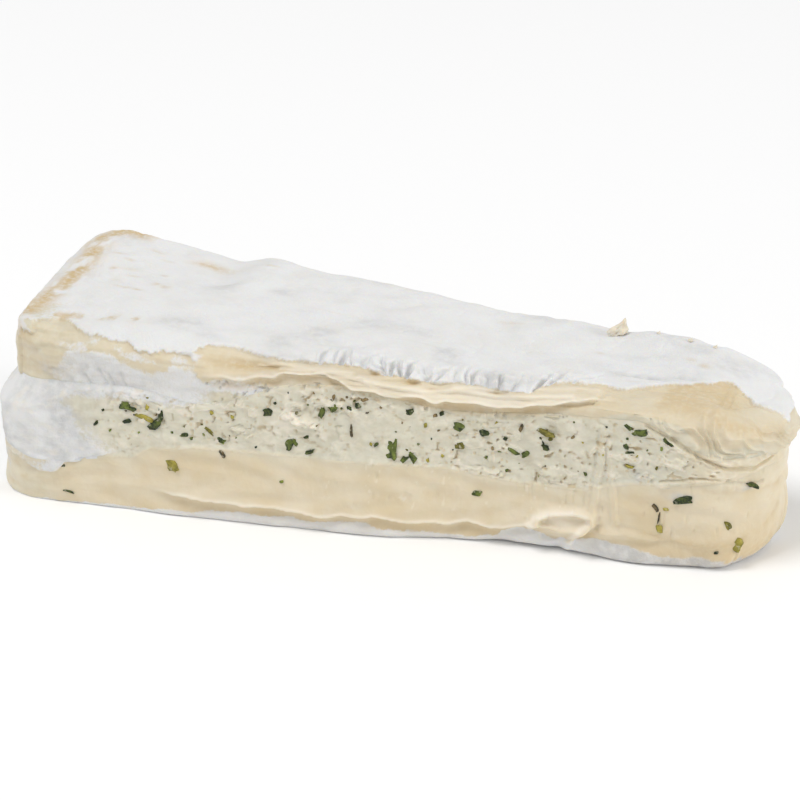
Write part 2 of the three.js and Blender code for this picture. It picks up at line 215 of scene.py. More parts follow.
def rough(x, y, z, size, octaves=3, seed=0):
    """Noise of halving size and strength, summed."""
    size = np.array(np.broadcast_to(size, 3), float)
    total = sum(noise(x, y, z, size / 2**n, seed + n) / 2**n for n in range(octaves))
    return total / (2 - 0.5 ** (octaves - 1))


def crease(value, sharpness):
    """1 along the lines where value is 0, falling off to 0 away from them."""
    return (1 - np.minimum(np.abs(value), 1)) ** sharpness


# The slice's form.
def backness(y):
    """0 on the front cut, 1 on the back cut."""
    return ease(-12, 12, y)


def outline(a, b, inset):
    """The outline in plan, moved in by inset, for a and b from -1 to 1 along and across: straight tapering
    sides, a square's corners pulled in to arcs, the front cut's slow wave and the rim's arc y^2 / 2r."""
    x = inset + (a + 1) / 2 * (LENGTH - 2 * inset)
    half = (RIM_WIDTH + (NOSE_WIDTH - RIM_WIDTH) * x / LENGTH) / 2 - inset
    y = b * half
    at_rim = x < LENGTH / 2
    end = np.where(at_rim, -1.0, 1.0)
    radius = np.where(at_rim, RIM_CORNER, NOSE_CORNER) - inset
    centre_x = np.where(at_rim, inset + radius, LENGTH - inset - radius)
    over_x = (x - centre_x) * end
    over_y = np.abs(y) - (half - radius)
    corner = (over_x > 0) & (over_y > 0)
    pull = np.maximum(over_x, over_y) / np.maximum(np.hypot(over_x, over_y), 1e-9)
    x = np.where(corner, centre_x + end * over_x * pull, x)
    y = np.where(corner, np.sign(y) * (half - radius + over_y * pull), y)
    y = y - curve(x, FRONT_WAVE) * ease(0, -8, y)
    x = x + y * y / (2 * WHEEL_RADIUS) * np.clip(1 - x / 40, 0, 1)
    return x, y


def top_height(x, y):
    """The top rind's height: the knots along x, a raised back corner, a valley and a crown at the back."""
    back = ease(0, 14, y)
    corner = 1.6 * bell(x, 8, 14) * np.clip(y / 20, 0, 1)
    valley = -1.8 * bell(x, 40, 5) + 0.6 * bell(x, 49, 6) - 1.2 * bell(x, 31, 9)
    crown = bell(x, 118, 12) + 2.3 * bell(x, 141, 13)
    return curve(x, TOP) + corner + (valley + crown) * back + 0.25 * ripple(x, y)


def between(front, back, x, y):
    """A height that follows one curve on the front cut and another on the back."""
    k = backness(y)
    return curve(x, front) * (1 - k) + curve(x, back) * k


def brow(x, y):
    """The top rind's rounded edge: how far in it ends, and how far down it starts."""
    k = backness(y)
    return curve(x, BROW_IN) * (1 - k) + BACK_BROW_IN * k, curve(x, BROW_DROP) * (1 - k) + BACK_BROW_DROP * k


def drawn_back(layer_set, x):
    """How far a layer draws back from the outline near the rim and the nose."""
    return layer_set[0] * (1 - ease(0, RIM_DEPTH, x)) + layer_set[1] * ease(LENGTH - NOSE_DEPTH, LENGTH, x)


def round_nose(x, y):
    """x along the front cut, carried on round the nose by how far across it a point lies."""
    return x + np.maximum(y + 15, 0) * ease(156, 166, x)


def lip(height, out, under, fall=2.2):
    """A thin lip at height 0: a sharp lower edge, a slow fall above it and a hollow below it."""
    edge = out * ease(-0.3, 0.1, height) * np.exp(-np.maximum(height, 0) / fall)
    return edge - under * bell(height, -1.3, 1.0)


def dragged(x, y, z, seed):
    """Long shallow streaks that a knife leaves along a cut."""
    return rough(x, y, z, (16, 30, 1.3), 3, seed)


def wobble(x, seed):
    """How an edge wanders up and down along x."""
    return 0.4 * noise(x, 0 * x, 0 * x, 6, seed) + 0.25 * noise(x, 0 * x, 0 * x, 2.3, seed + 1)


# Marks of the nose, the curl and the left end, as (x, z) lines on the front cut. Past the nose's corner x
# carries on as in round_nose(). CURL_BED is a soft oval.
NOSE_FOLD = [(144, 31.4), (149, 29.2), (153, 27.4), (160, 24), (168, 23), (178, 25), (190, 25.5)]
NOSE_CRACK = [(147, 19.6), (151, 20.4), (156, 21.4), (164, 20.2), (172, 19.6)]
LEFT_CREASE = [(134.4, 29.5), (134, 24), (133.2, 18), (132, 9)]
RIGHT_CREASE = [(135.6, 27), (135.9, 20), (137.2, 9)]
CURL_RIM = [
    (119.6, 5.6), (121, 8.2), (124, 9.6), (129, 10.4), (132, 9.9), (132.4, 8.4), (130.4, 6.4), (127.9, 3.2),
]
CURL_FOLD = [(121, 6.6), (125.6, 5.8), (129.4, 6.4)]
CURL_BED = [(126.8, 7, 4.6, 2.6, 1.8)]
SMEAR_FOOT = [(9, 9.6), (14, 7.4), (17, 7.6), (21, 10), (27, 12.3), (36, 15)]
NOSE_STREAKS = [
    [(138, 8.6), (150, 6.6), (160, 6.2), (172, 8), (180, 12)],
    [(156, 18.4), (170, 17.6), (180, 17)],
    [(180, 17.8), (184, 17), (186.6, 14.8), (187.4, 12), (186, 9.4), (181, 7)],
]
NOTCHES = [
    [(27.4, 31.5), (29, 28.6)],
    [(29.6, 31), (31, 27), (30.4, 25)],
    [(32.4, 31.4), (33.2, 28.8)],
    [(24, 30), (26.4, 27)],
]


def nose_marks(x, y, z):
    """The fold and the crack across the nose, the bulge over the fold, and the knife creases before them."""
    w = round_nose(x, y)
    bent = z + 0.6 * noise(x, y, z, 5, 21) + 0.3 * noise(x, y, z, 1.8, 22)
    fold = 0.6 * stroke(w, bent - 1.4, NOSE_FOLD, 1.2) - 1.1 * stroke(w, bent, NOSE_FOLD, 0.42)
    crack = 0.3 * stroke(w, bent + 0.8, NOSE_CRACK, 0.7) - 0.6 * stroke(w, bent, NOSE_CRACK, 0.28)
    creases = 0.55 * stroke(w - 0.9, z, LEFT_CREASE, 0.7) - 0.3 * stroke(w, z, LEFT_CREASE, 0.4)
    creases = creases + 0.45 * stroke(w - 0.8, z, RIGHT_CREASE, 0.6) - 0.25 * stroke(w, z, RIGHT_CREASE, 0.4)
    streaks = -0.2 * sum(stroke(w, z, line, 0.5) for line in NOSE_STREAKS)
    bulge = 0.7 * bell(z, 26.8, 2) * ease(24.4, 26, z) * ease(164, 176, w)
    return ease(10, 5, y) * (fold + crack + creases + streaks + bulge)


def wrinkles(x, y, z):
    """Soft folds where the paste dragged round the nose: bent ridges some 3 mm apart."""
    w = round_nose(x, y)
    bend_w = 4 * noise(w, 0 * w, z, 5, 51)
    bend_z = 2.5 * noise(w, 0 * w, z, 4, 52)
    ridges = 1.6 * crease(np.sin(0.85 * (w + bend_w) + 1.2 * (z + bend_z)), 1.6) - 0.6
    zone = np.clip(ovals(w, z, [(155, 30.5, 8, 3.6, 1), (163, 28, 7, 3, 1), (175, 28, 8, 3.5, 0.8)]), 0, 1)
    return 0.6 * ridges * zone * ease(12, 6, y)


def smear_cover(x, y, z):
    """Where white mould was smeared down the front-left corner: above its raised foot, up to x 35."""
    low = z - curve(x, SMEAR_FOOT) - 0.5 * noise(x, y, z, 3, 33)
    along = x + 1.2 * low + 2 * noise(x, y, z, (6, 6, 1.6), 34)
    return ease(-0.3, 0.3, low) * ease(37, 27, along) * ease(-24, -27, y)


# Relief: how far a layer stands out of its plain form, in mm.
def bottom_relief(x, y, z):
    """The lower half: on the front cut a lip, a curl of paste, smeared mould and small scars, on the back cut
    a lip, and everywhere streaks and swells."""
    front = ease(2, -2, y)
    edge = z - curve(x, LOWER_LIP) - wobble(x, 31)
    shown = window(x, 38, 46, 119, 125) * lip(edge, 1.2, 0.5)
    hem = window(x, 124, 134, 160, 172) * lip(z - 6.2 - wobble(x, 35), 0.5, 0.4)
    curl = 1.7 * stroke(x, z, CURL_RIM, 0.8) + 0.9 * stroke(x, z, CURL_FOLD, 0.6) + ovals(x, z, CURL_BED)
    under_curl = -0.8 * stroke(x - 0.6, z, [(122, 3.6), (126, 3.2), (131, 5.4), (134, 7.6)], 0.8)
    smear = 0.6 * smear_cover(x, y, z)
    scars = -0.2 * ease(0.55, 0.85, noise(x, y, z, (0.8, 2, 2.4), 36)) * ease(70, 85, x) * ease(5, 8, z)
    swell = 0.3 * ripple(x, 2 * z) + 0.10 * dragged(x, y, z, 37) + 0.10 * rough(x, y, z, 3, 2, 38)
    rear = 0.8 * lip(z - 4.8 - wobble(x, 39), 1, 0.8) * ease(20, 50, x)
    tucked = TUCK * np.maximum(z - between(LOW_FRONT, LOW_BACK, x, y), 0)
    local = front * (shown + hem + curl + under_curl + smear + scars) + (1 - front) * rear - tucked
    return local + swell + nose_marks(x, y, z) - drawn_back(BOTTOM_SET, x)


# Where the front of the filling broke: x, z, half length, half height and how much.
CRUMBLY = [
    (52, 25, 9, 5, 0.8), (70, 27, 9, 5, 0.8), (113, 20, 13, 5.5, 1.3), (139, 24, 7, 6, 0.8),
    (97, 30, 6, 1.5, 0.8), (80, 31, 8, 2, 0.8), (36, 23, 5, 4, 0.7), (157, 22.6, 8, 1.6, 1),
]
# The bright curd lump in the filling, the same way.
CURD = [(72, 25.3, 2.4, 1.1, 1.3), (70, 26.4, 1.1, 0.8, 1), (74.4, 24.6, 1.2, 0.8, 0.8)]


def crumbliness(x, y, z):
    """Where the filling broke rather than cut: 1 in the crumbly zones, less elsewhere, 0 at rim and nose."""
    zones = np.where(y > 0, 0.6 * ease(-0.2, 0.6, noise(x, y, z, 14, 41)), ovals(x, z, CRUMBLY))
    shown = np.clip(0.4 + zones + 0.3 * noise(x, y, z, 8, 42), 0.2, 1.4)
    return shown * ease(22, 34, x + 0.6 * (z - 18)) * ease(170, 150, x)


def crumble(x, y, z):
    """Broken fresh cheese, as height, hollowness and flaky edges: thin flakes, short cracks and pits."""
    bend = 0.8 * noise(x, y, z, 1.5, 43)
    grains = rough(x + bend, y, z - bend, (1.7, 1.7, 1.1), 4, 44)
    broken = ease(0.1, 0.5, noise(x, y, z, 4, 50))
    cracks = crease(2.6 * noise(x + bend, y, z - 2 * bend, (3.4, 3, 1.5), 45), 6) * broken
    pits = ease(0.5, 0.68, noise(x + bend, y, z, 0.85, 46))
    plates = noise(x - 2 * bend, y, z + bend, (3.6, 3, 2), 53)
    flakes = 0.45 * ease(0.14, 0.22, plates) + 0.35 * ease(0.42, 0.5, plates)
    edges = bell(plates, 0.25, 0.06) + bell(plates, 0.53, 0.06)
    height = 0.2 * grains + flakes * (0.3 + 0.7 * broken) - 0.5 * cracks - 0.5 * pits
    return height, np.clip(0.15 * cracks + pits, 0, 1), edges


def side_heights(x, y, z):
    """The unrolled heights of a point low on the wall: z on its own side, and far off the other sides."""
    at_nose = x > NOSE_SIDE
    return {
        "front": np.where((y < 0) & ~at_nose, z, FAR),
        "back": np.where((y >= 0) & ~at_nose, z, FAR),
        "nose": np.where(at_nose, z, FAR),
    }


def filling_relief(x, y, z):
    """The filling: sunk a little below the paste, crumbly in places, dragged smooth towards the nose, and
    run into the layers above and below it at the seams."""
    sunk = 0.5 * window(x, 30, 50, 135, 150)
    front = ease(2, -2, y)
    curd = ovals(x, z, CURD) * (1 + 0.7 * noise(x, y, z, 0.8, 47))
    swell = 0.15 * ripple(2 * x + y, 3 * z - y) + 0.08 * dragged(x, y, z, 48)
    mould = 0.5 * rough(x, y, z, (5, 5, 3.5), 4, 49) * (1 - ease(22, 32, x))
    notches = sum(0.4 * stroke(x, z, line, 0.45) for line in NOTCHES)
    broken = crumbliness(x, y, z) * crumble(x, y, z)[0]
    own = front * (curd - notches + 0.4 * smear_cover(x, y, z)) - sunk + swell + mould + broken
    own = own + nose_marks(x, y, z) + wrinkles(x, y, z) - drawn_back(FILLING_SET, x)
    low = between(LOW_FRONT, LOW_BACK, x, y)
    high = between(HIGH_FRONT, HIGH_BACK, x, y)
    under = bottom_relief(x, y, low)
    over = top_relief(x, y, high, side_heights(x, y, high)) - drawn_back(TOP_SET, x)
    reach = 1.2 + 5 * (1 - ease(8, RIM_DEPTH, x))
    tucked = TUCK * np.maximum(np.maximum(low - z, z - high), 0)
    return own + ease(1.2, 0, z - low) * (under - own) + ease(reach, 0, high - z) * (over - own) - tucked


# Folds of the top rind over the front edge, as (x, slant, reach, depth): narrow grooves beside soft ridges.
FOLDS = [
    (74.8, -0.2, 0.45, 0.6), (77.5, -0.3, 0.3, 0.4), (79.4, -0.15, 0.6, 1.2), (80.8, -0.5, 0.3, 0.5),
    (84.2, 0.1, 0.7, 0.6), (88.2, -0.6, 0.5, 0.9), (90.2, -0.2, 0.4, 1.2), (91.6, -0.4, 0.35, 1.2),
    (93.4, -0.1, 0.5, 1.3), (96.8, -0.5, 0.8, 1.0), (99.5, 0.2, 0.4, 0.5), (102.4, -0.3, 0.7, 0.6),
    (104.6, -0.3, 0.3, 0.7), (106.2, -0.1, 0.45, 0.9), (109.8, -0.4, 0.8, 0.5), (112.4, -0.2, 0.5, 0.9),
    (115.6, 0.1, 0.5, 0.4), (120.4, 0.2, 0.6, 1.0), (123, 0.7, 0.6, 0.6), (128, 0.8, 0.7, 0.5),
]
# On the same front edge, as (x, s): the gathered ridge, thin lobes of paste under it, and small scraps, holes
# and a dent, each with its half sizes and strength. DENT is in plan.
GATHER = [
    (81, 43.5), (84, 42.6), (87, 40.6), (89.5, 42.4), (92, 40.4), (94, 40), (97, 38.2), (101, 41),
    (107, 40.8), (113, 39.4), (118, 40.6), (122, 42.5), (130, 44.5),
]
LOBES = [
    [(62, 38.4), (68, 39), (75, 39), (82, 38.4)],
    [(67, 37.3), (74, 38.2), (81, 37.5), (86, 35.6)],
    [(84, 37), (90, 35.4), (97, 34.2), (104, 34.8), (112, 34), (120, 34.9), (127, 36.6)],
    [(103, 35.6), (108, 35.6), (111, 35.2)],
    [(120, 36.8), (126, 38.6), (132, 40)],
]
DENT = [(139, -2.8, 5, 1.1, 1), (147, -1, 2.5, 0.7, 0.6)]
SCRAP = [(48.8, 37.8, 0.9, 0.8, 1.1), (48, 38.8, 1.1, 0.5, 0.9), (49.8, 38.5, 0.5, 0.4, 0.7)]
SMALL_HOLES = [
    (87, 38.7, 1.4, 0.45, 1), (94.6, 36.2, 1.5, 0.55, 1), (98.9, 34.6, 1.9, 0.5, 0.9),
    (111.6, 34.9, 1.8, 0.4, 0.9), (84.6, 36.6, 1.6, 0.3, 0.5), (63, 38.6, 1.2, 0.5, 0.4),
]


def rind_cover(x, y, z, s):
    """1 where rind covers the paste and 0 where paste is bare: past an edge in unrolled height on each cut,
    and behind a line in plan across the nose."""
    ragged = 0.35 * noise(x, y, z, 2.2, 61) + 0.22 * noise(x, y, z, 0.8, 62)
    ragged = ragged * (1 + 2 * ease(58, 46, x))
    at_nose = ease(149, 153, x)
    past_edge = (1 - at_nose) * (s["front"] - curve(x, RIND_EDGE)) + at_nose * (y - curve(x, NOSE_LINE))
    over_front = ease(-0.22, 0.22, past_edge + ragged)
    over_back = ease(-0.3, 0.3, s["back"] - curve(x, BACK_RIND_EDGE) - wobble(x, 63) + ragged)
    over_back = np.maximum(over_back, ease(13, 11, x + 8 * ragged))
    over_nose = ease(-0.4, 0.4, s["nose"] - NOSE_RIND_EDGE + 2 * ragged)
    return over_front * over_back * over_nose


def fresh_part(x, f):
    """1 on the strip of filling that shows under the paste, which belongs to the upper half's wall."""
    return ease(0.3, -0.3, f - curve(x, FRESH_EDGE)) * window(x, 46, 54, 140, 152)


def pleats(x, s, cover):
    """Folds of the rind across the front edge: grooves beside ridges, a gathered ridge along the edge, and
    fine pleats, all fading out within 6 mm."""
    above = s - curve(x, RIND_EDGE)
    fade = ease(6, 2, above) * cover
    drift = 0.5 * noise(x, 0 * x, s, (5, 1, 3), 71)
    depth = 0.0
    for at, slant, reach, deep in FOLDS:
        across = x + drift - at - slant * (above - 2)
        depth = depth - 1.7 * deep * bell(across, 0, reach)
        depth = depth + 0.5 * deep * bell(across, 1.8 * reach, 1.2 * reach)
    fine = crease(2.4 * noise(x + drift + 0.3 * above, 0 * x, s, (1.5, 1, 5), 72), 2)
    lumps = 0.6 * noise(x, 0 * x, s, (3.4, 1, 2.6), 73)
    ridge = s - curve(x, GATHER) + 1.2 * drift
    gathered = 0.8 * ease(-0.4, 0.2, ridge) * np.exp(-np.maximum(ridge, 0) / 1.8)
    gathered = (gathered - 0.45 * bell(ridge, -0.9, 0.5)) * window(x, 80, 84, 124, 132)
    zone = 0.3 + 0.7 * window(x, 66, 80, 118, 132)
    threads = window(x, 24, 34, 130, 140)
    return fade * (depth + gathered + threads * zone * (lumps - 0.3 * fine))


def top_relief(x, y, z, s):
    """The upper half: the rind's thickness and pleats, on the front cut the lip, cup, layers and crumbs of
    the paste, on the back cut a lip, and soft swells."""
    cover = rind_cover(x, y, z, s)
    f = s["front"]
    at_front = f < FAR
    edge = f - curve(x, UPPER_LIP) - 0.7 * wobble(x, 64)
    thin = lip(edge, 0.7, 0.35, 1.0) * window(x, 47, 53, 74, 80)
    thick = lip(edge, 1.2, 0.55, 2.6) * window(x, 74, 82, 127, 138)
    cup = ovals(x, f, [(58, 37.6, 7, 2.6, -1.3), (66, 37.4, 6, 1.8, -0.9), (52, 37, 1.6, 1.2, -0.5)])
    small = ovals(x, f, SCRAP) - 0.9 * ovals(x, f, SMALL_HOLES)
    layers = 0.5 * rough(x, 0 * x, f, (9, 1, 1.3), 3, 65) * ease(-1.5, 0, edge) * ease(66, 80, x)
    layers = (layers + 0.25 * dragged(x, y, f, 66)) * (1 - cover)
    bent = f + 0.5 * wobble(x, 65)
    lobes = sum(0.45 * stroke(x, bent, line, 0.8) - 0.2 * stroke(x, bent + 1, line, 0.5) for line in LOBES)
    notches = sum(0.4 * stroke(x, z, line, 0.45) for line in NOTCHES)
    notches = notches + 0.5 * stroke(x, f, [(132.6, 35.6), (133.6, 39.5)], 0.6)
    crumbs = fresh_part(x, f) * crumble(x, y, z)[0]
    cut = thin + thick + cup + small + layers + lobes - notches + crumbs
    cut = np.where(at_front, cut + pleats(x, f, cover), 0)
    rear = lip(s["back"] - 32.5 - wobble(x, 67), 0.9, 0.7) * ease(20, 50, x)
    rear = rear + 0.4 * rough(x, y, z, (4, 4, 6), 2, 68) * ease(33, 36, s["back"])
    rear = rear * ease(42, 39, s["back"])
    corner = (1 - ease(18, 34, x)) * (0.6 * rough(x, y, z, (5, 5, 3), 4, 69) - 0.2)
    marks = (nose_marks(x, y, z) + wrinkles(x, y, z)) * (1 - cover)
    swell = 0.2 * ripple(x, 2 * z) * (1 - cover)
    tucked = TUCK * np.maximum(between(HIGH_FRONT, HIGH_BACK, x, y) - z, 0)
    dent = -0.8 * ovals(x, y, DENT) * (z > 30)
    return 0.75 * (cover - 1) + cut + rear + corner + marks + swell + dent - tucked


# Meshes from rings of points.
def stations():
    """The square's edge once round, against the clock from the rim's front corner."""
    i = 2 * np.arange(ALONG) / ALONG - 1
    j = 2 * np.arange(ACROSS) / ACROSS - 1
    a = np.concatenate([i, np.ones(ACROSS), -i, -np.ones(ACROSS)])
    b = np.concatenate([-np.ones(ALONG), j, np.ones(ALONG), -j])
    return a, b


def in_frame(points):
    """From mm in the slice's coordinates to metres in the frame."""
    return (points - np.array([ORIGIN[0], ORIGIN[1], 0.0])) * 0.001


def wall_quads(levels, count):
    """Quads between rings of count points, from the lowest ring up."""
    ring = np.arange(count)
    following = (ring + 1) % count
    low = np.arange(levels - 1)[:, None] * count
    high = low + count
    return np.stack([low + ring, low + following, high + following, high + ring], -1).reshape(-1, 4)


def repeated(quads, copies, count):
    """The quads of one lump of count points, for several lumps whose points follow one another."""
    return (quads + count * np.arange(copies)[:, None, None]).reshape(-1, 4)


def strip_cap(first, up):
    """A hidden cap on the ring that starts at index first: strips across, and a fan at each end."""
    nose = ALONG + ACROSS
    i = np.arange(ALONG)
    strips = np.stack([i, i + 1, nose + ALONG - i - 1, nose + ALONG - i], -1)
    j = np.arange(ALONG + 1, nose)
    k = np.arange(nose + ALONG, 2 * nose - 1)
    fans = np.concatenate([
        np.stack([np.full_like(j, ALONG), j, j + 1], -1),
        np.stack([np.zeros_like(k), k, k + 1], -1),
    ])
    if not up:
        strips, fans = strips[:, ::-1], fans[:, ::-1]
    return strips + first, fans + first


def grid_cap(first, first_inner, up):
    """A cap as a grid whose border is the ring at index first; its inner points start at first_inner."""
    index = np.empty((ALONG + 1, ACROSS + 1), int)
    index[1:-1, 1:-1] = first_inner + np.arange((ALONG - 1) * (ACROSS - 1)).reshape(ALONG - 1, ACROSS - 1)
    ring = first + np.arange(2 * (ALONG + ACROSS))
    nose = ALONG + ACROSS
    index[:ALONG, 0] = ring[:ALONG]
    index[ALONG, :ACROSS] = ring[ALONG:nose]
    index[ALONG:0:-1, ACROSS] = ring[nose:nose + ALONG]
    index[0, ACROSS:0:-1] = ring[nose + ALONG:]
    quads = np.stack([index[:-1, :-1], index[1:, :-1], index[1:, 1:], index[:-1, 1:]], -1).reshape(-1, 4)
    return quads if up else quads[:, ::-1]


def inner_square():
    """a and b of a grid cap's inner points."""
    a = 2 * np.arange(1, ALONG) / ALONG - 1
    b = 2 * np.arange(1, ACROSS) / ACROSS - 1
    a, b = np.meshgrid(a, b, indexing="ij")
    return a.ravel(), b.ravel()


def make_piece(name, points, quads, triangles, paint, material, node_name):
    """A smooth mesh piece on the body, with paint as point attributes, that stands for the node's solid."""
    mesh = bpy.data.meshes.new(name)
    loops = np.concatenate([quads.ravel(), triangles.ravel()]).astype(np.int32)
    sizes = np.concatenate([np.full(len(quads), 4), np.full(len(triangles), 3)]).astype(np.int32)
    mesh.vertices.add(len(points))
    mesh.vertices.foreach_set("co", in_frame(points).astype(np.float32).ravel())
    mesh.loops.add(len(loops))
    mesh.loops.foreach_set("vertex_index", loops)
    mesh.polygons.add(len(sizes))
    mesh.polygons.foreach_set("loop_start", np.concatenate([[0], np.cumsum(sizes)[:-1]]).astype(np.int32))
    mesh.polygons.foreach_set("use_smooth", np.ones(len(sizes), bool))
    mesh.update(calc_edges=True)
    for key, values in paint.items():
        mesh.attributes.new(key, "FLOAT", "POINT").data.foreach_set("value", values.astype(np.float32))
    mesh.materials.append(material)
    piece = bpy.data.objects.new(name, mesh)
    bpy.context.scene.collection.objects.link(piece)
    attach(piece, "root")
    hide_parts(node_name)
    return piece


# Paint: where rind (bloom), fresh cheese, broken cheese, tan stains, grey mould and pale cheese lie, from 0
# to 1. The tan also stands for painted shade in hollows, the grey for painted shade in a dent and on the
# lower rind, and the pale for painted highlights on lips, ridges and flake edges.
# The wear and the dashes are in plan, and NOSE_TAN is as (x, z) with x carried on round the nose.
SHOULDER_WEAR = [
    (7.6, -20.5), (8.6, -15), (9.2, -8), (9.8, -3), (9.5, 4.6), (9, 13.6), (8.5, 20), (11, 25), (16, 25.5),
]
FRONT_WEAR = [(14, -21), (18, -19.6), (23.5, -18.6), (30, -18.4), (40, -18.4)]
NOSE_TAN = [(146, 36), (156, 34.6), (163, 32), (178, 29)]
TAN_DASHES = [
    (15.3, 14, 1.6, 0.35, 1), (18, 11.5, 1.3, 0.3, 0.9), (20.5, 7.5, 2.2, 0.35, 1),
    (22.5, 4.5, 1.5, 0.25, 0.8), (19, 2, 1, 0.35, 0.8), (22.8, -2, 2.6, 0.4, 1), (25.8, -2.2, 1.2, 0.35, 1),
    (28, 7.5, 0.8, 0.35, 0.8), (16.5, 6.5, 0.9, 0.6, 0.9), (30, 3.5, 2.4, 0.15, 0.4),
    (25, 15.5, 1.6, 0.3, 0.8), (36, 18, 4.5, 1.6, 0.7), (22, 19, 1.8, 0.5, 0.6), (48, 19, 2.2, 0.3, 0.5),
    (28.7, 1.3, 0.9, 0.4, 1.2), (31.3, 0.4, 1.1, 0.45, 1.2), (92, -6, 4, 0.3, 0.2), (70, 2, 5, 0.3, 0.15),
    (105.6, 12.5, 2.5, 0.6, 0.4), (127.6, 4.2, 1.2, 0.5, 0.5), (149.7, 5.2, 1.5, 0.8, 0.6),
    (146.5, 6.4, 1.2, 0.5, 0.5), (138, -6.4, 2.2, 0.3, 0.3), (33, 17.6, 3, 0.5, 0.6),
]


def upper_paint(x, y, z, s):
    """Paint of the upper half: rind over the top, thin mould low on the left of the front cut, tan wear at
    the shoulder and in dashes, painted shade in hollows of the paste, under the lip, under the rind's edge
    and in a dent, and painted highlights on the paste's lip and ridges."""
    f = s["front"]
    mottle = rough(x, y, z, (5, 5, 3.5), 4, 81)
    near_corner = ease(-8, -22, y)
    cloudy = rough(x, y, z, (6, 6, 3), 3, 86)
    bare = ease(24, 12, x) * near_corner * ease(40.5, 38.5, z + 1.5 * cloudy) * ease(0.45, 0, cloudy)
    bloom = rind_cover(x, y, z, s) * (1 - 0.9 * bare)
    frosty = rough(x, y, z, (3.2, 3.2, 2), 3, 87)
    over_fresh = f - curve(x, FRESH_EDGE)
    blotches = 0.62 * ease(-0.1, 0.45, frosty) * window(x, 14, 20, 44, 56) * ease(33.5, 35, f)
    thin_mould = 0.85 * ease(1.1, -1.1, over_fresh + 1.2 * (mottle + frosty)) * ease(72, 58, x)
    thin_mould = thin_mould * ease(9, 25, x + 10 * cloudy)
    thin_mould = thin_mould * (1 - ease(48, 54, x) * ease(30.2, 29, f + mottle))
    scrap = np.clip(ovals(x, f, SCRAP), 0, 1)
    bloom = np.maximum(bloom, (f < FAR) * np.maximum(np.maximum(blotches, scrap), thin_mould))
    fresh = ease(0.5, -0.5, over_fresh) * ease(44, 52, x)
    fresh = np.maximum(fresh, 0.3 + 0.35 * ease(40, 20, x))
    # Painted shade: tan in the recess under the upper lip.
    recess_shade = bell(f, curve(x, UPPER_LIP) - 1.4, 1.1) * window(x, 50, 56, 128, 138)
    # Painted shade: tan in the cup and in the small holes of the paste.
    cup = ovals(x, f, [(58, 37.6, 7, 2.2, 0.7), (66, 37.4, 5, 1.4, 0.5), *SMALL_HOLES])
    patchy = rough(x, y, z, (2.5, 4, 4), 4, 82)
    tan_tint = stroke(x, y, SHOULDER_WEAR, 2.6) * ease(34.5, 36.5, z) * ease(-0.45, 0.0, patchy)
    tan_tint = tan_tint + 0.85 * stroke(x, y, FRONT_WEAR, 1.6) * ease(-0.05, 0.3, patchy) * ease(36, 38, z)
    corner = 0.25 * ease(24, 12, x) * near_corner * ease(39, 37, z) * ease(-0.3, 0.4, cloudy)
    rim = 0.35 * ease(12, 4, x) * ease(-0.2, 0.6, rough(x, y, z, (6, 6, 3), 5, 84))
    dashes = 0.8 * ovals(x, y, TAN_DASHES) * ease(35, 36, z)
    nose = 0.5 * (1 - bloom) * stroke(round_nose(x, y), z, NOSE_TAN, 1.3)
    # Painted shade: a tan line on the paste just under the rind's edge.
    shade_under_rind = 0.5 * (1 - bloom) * bell(rind_cover(x, y, z, s), 0.3, 0.3) * (f < FAR)
    above_lip = f - curve(x, UPPER_LIP) - 0.7 * wobble(x, 64)
    # Painted highlights: pale along the upper lip's edge, on a band above it and along the lobes.
    pale_and_highlight = 0.7 * bell(above_lip, 0.35, 0.4) * window(x, 48, 56, 130, 138)
    pale_and_highlight = pale_and_highlight + 0.4 * bell(above_lip, 1.6, 1.4) * window(x, 80, 90, 126, 136)
    pale_and_highlight = pale_and_highlight + sum(0.35 * stroke(x, f + 0.5 * wobble(x, 65), line, 0.7) for line in LOBES)
    soft_grey = 0.6 * ease(0, 0.6, rough(x, y, z, (14, 8, 6), 3, 85))
    left_grey = 0.8 * ease(46, 28, x) * ease(-0.3, 0.4, cloudy) * ease(34, 31, z) * near_corner
    # Painted shade: grey in the dent on the top near the nose.
    dent = ovals(x, y, DENT)
    return {
        "broken": fresh_part(x, f) * (1 - bloom),
        "bloom": bloom,
        "fresh": fresh,
        "stain_and_shade": np.clip(tan_tint + corner + rim + dashes + 0.5 * recess_shade + cup + nose + shade_under_rind, 0, 1),
        "grey_and_shade": np.clip(soft_grey + left_grey * bloom + dent, 0, 1),
        "pale_and_highlight": np.clip(pale_and_highlight, 0, 1),
    }


# On the front of the filling, as x, z, half sizes and strength: grey in the mould, grey round soaked herbs,
# and the curd lump's pale colour.
MOULD_SHADES = [(22.5, 20.6, 3.6, 1.8, 1), (19, 24, 4, 2, 0.5), (31, 28, 3, 2, 0.4)]
HERB_SHADES = [(150.5, 18, 2, 1, 0.8), (143, 20, 2, 2, 0.5), (139, 17, 2, 1.5, 0.4)]
CURD_TINT = [(72, 25.3, 2.2, 0.9, 1), (70, 26.4, 1, 0.7, 1), (74.4, 24.6, 1, 0.7, 0.8)]


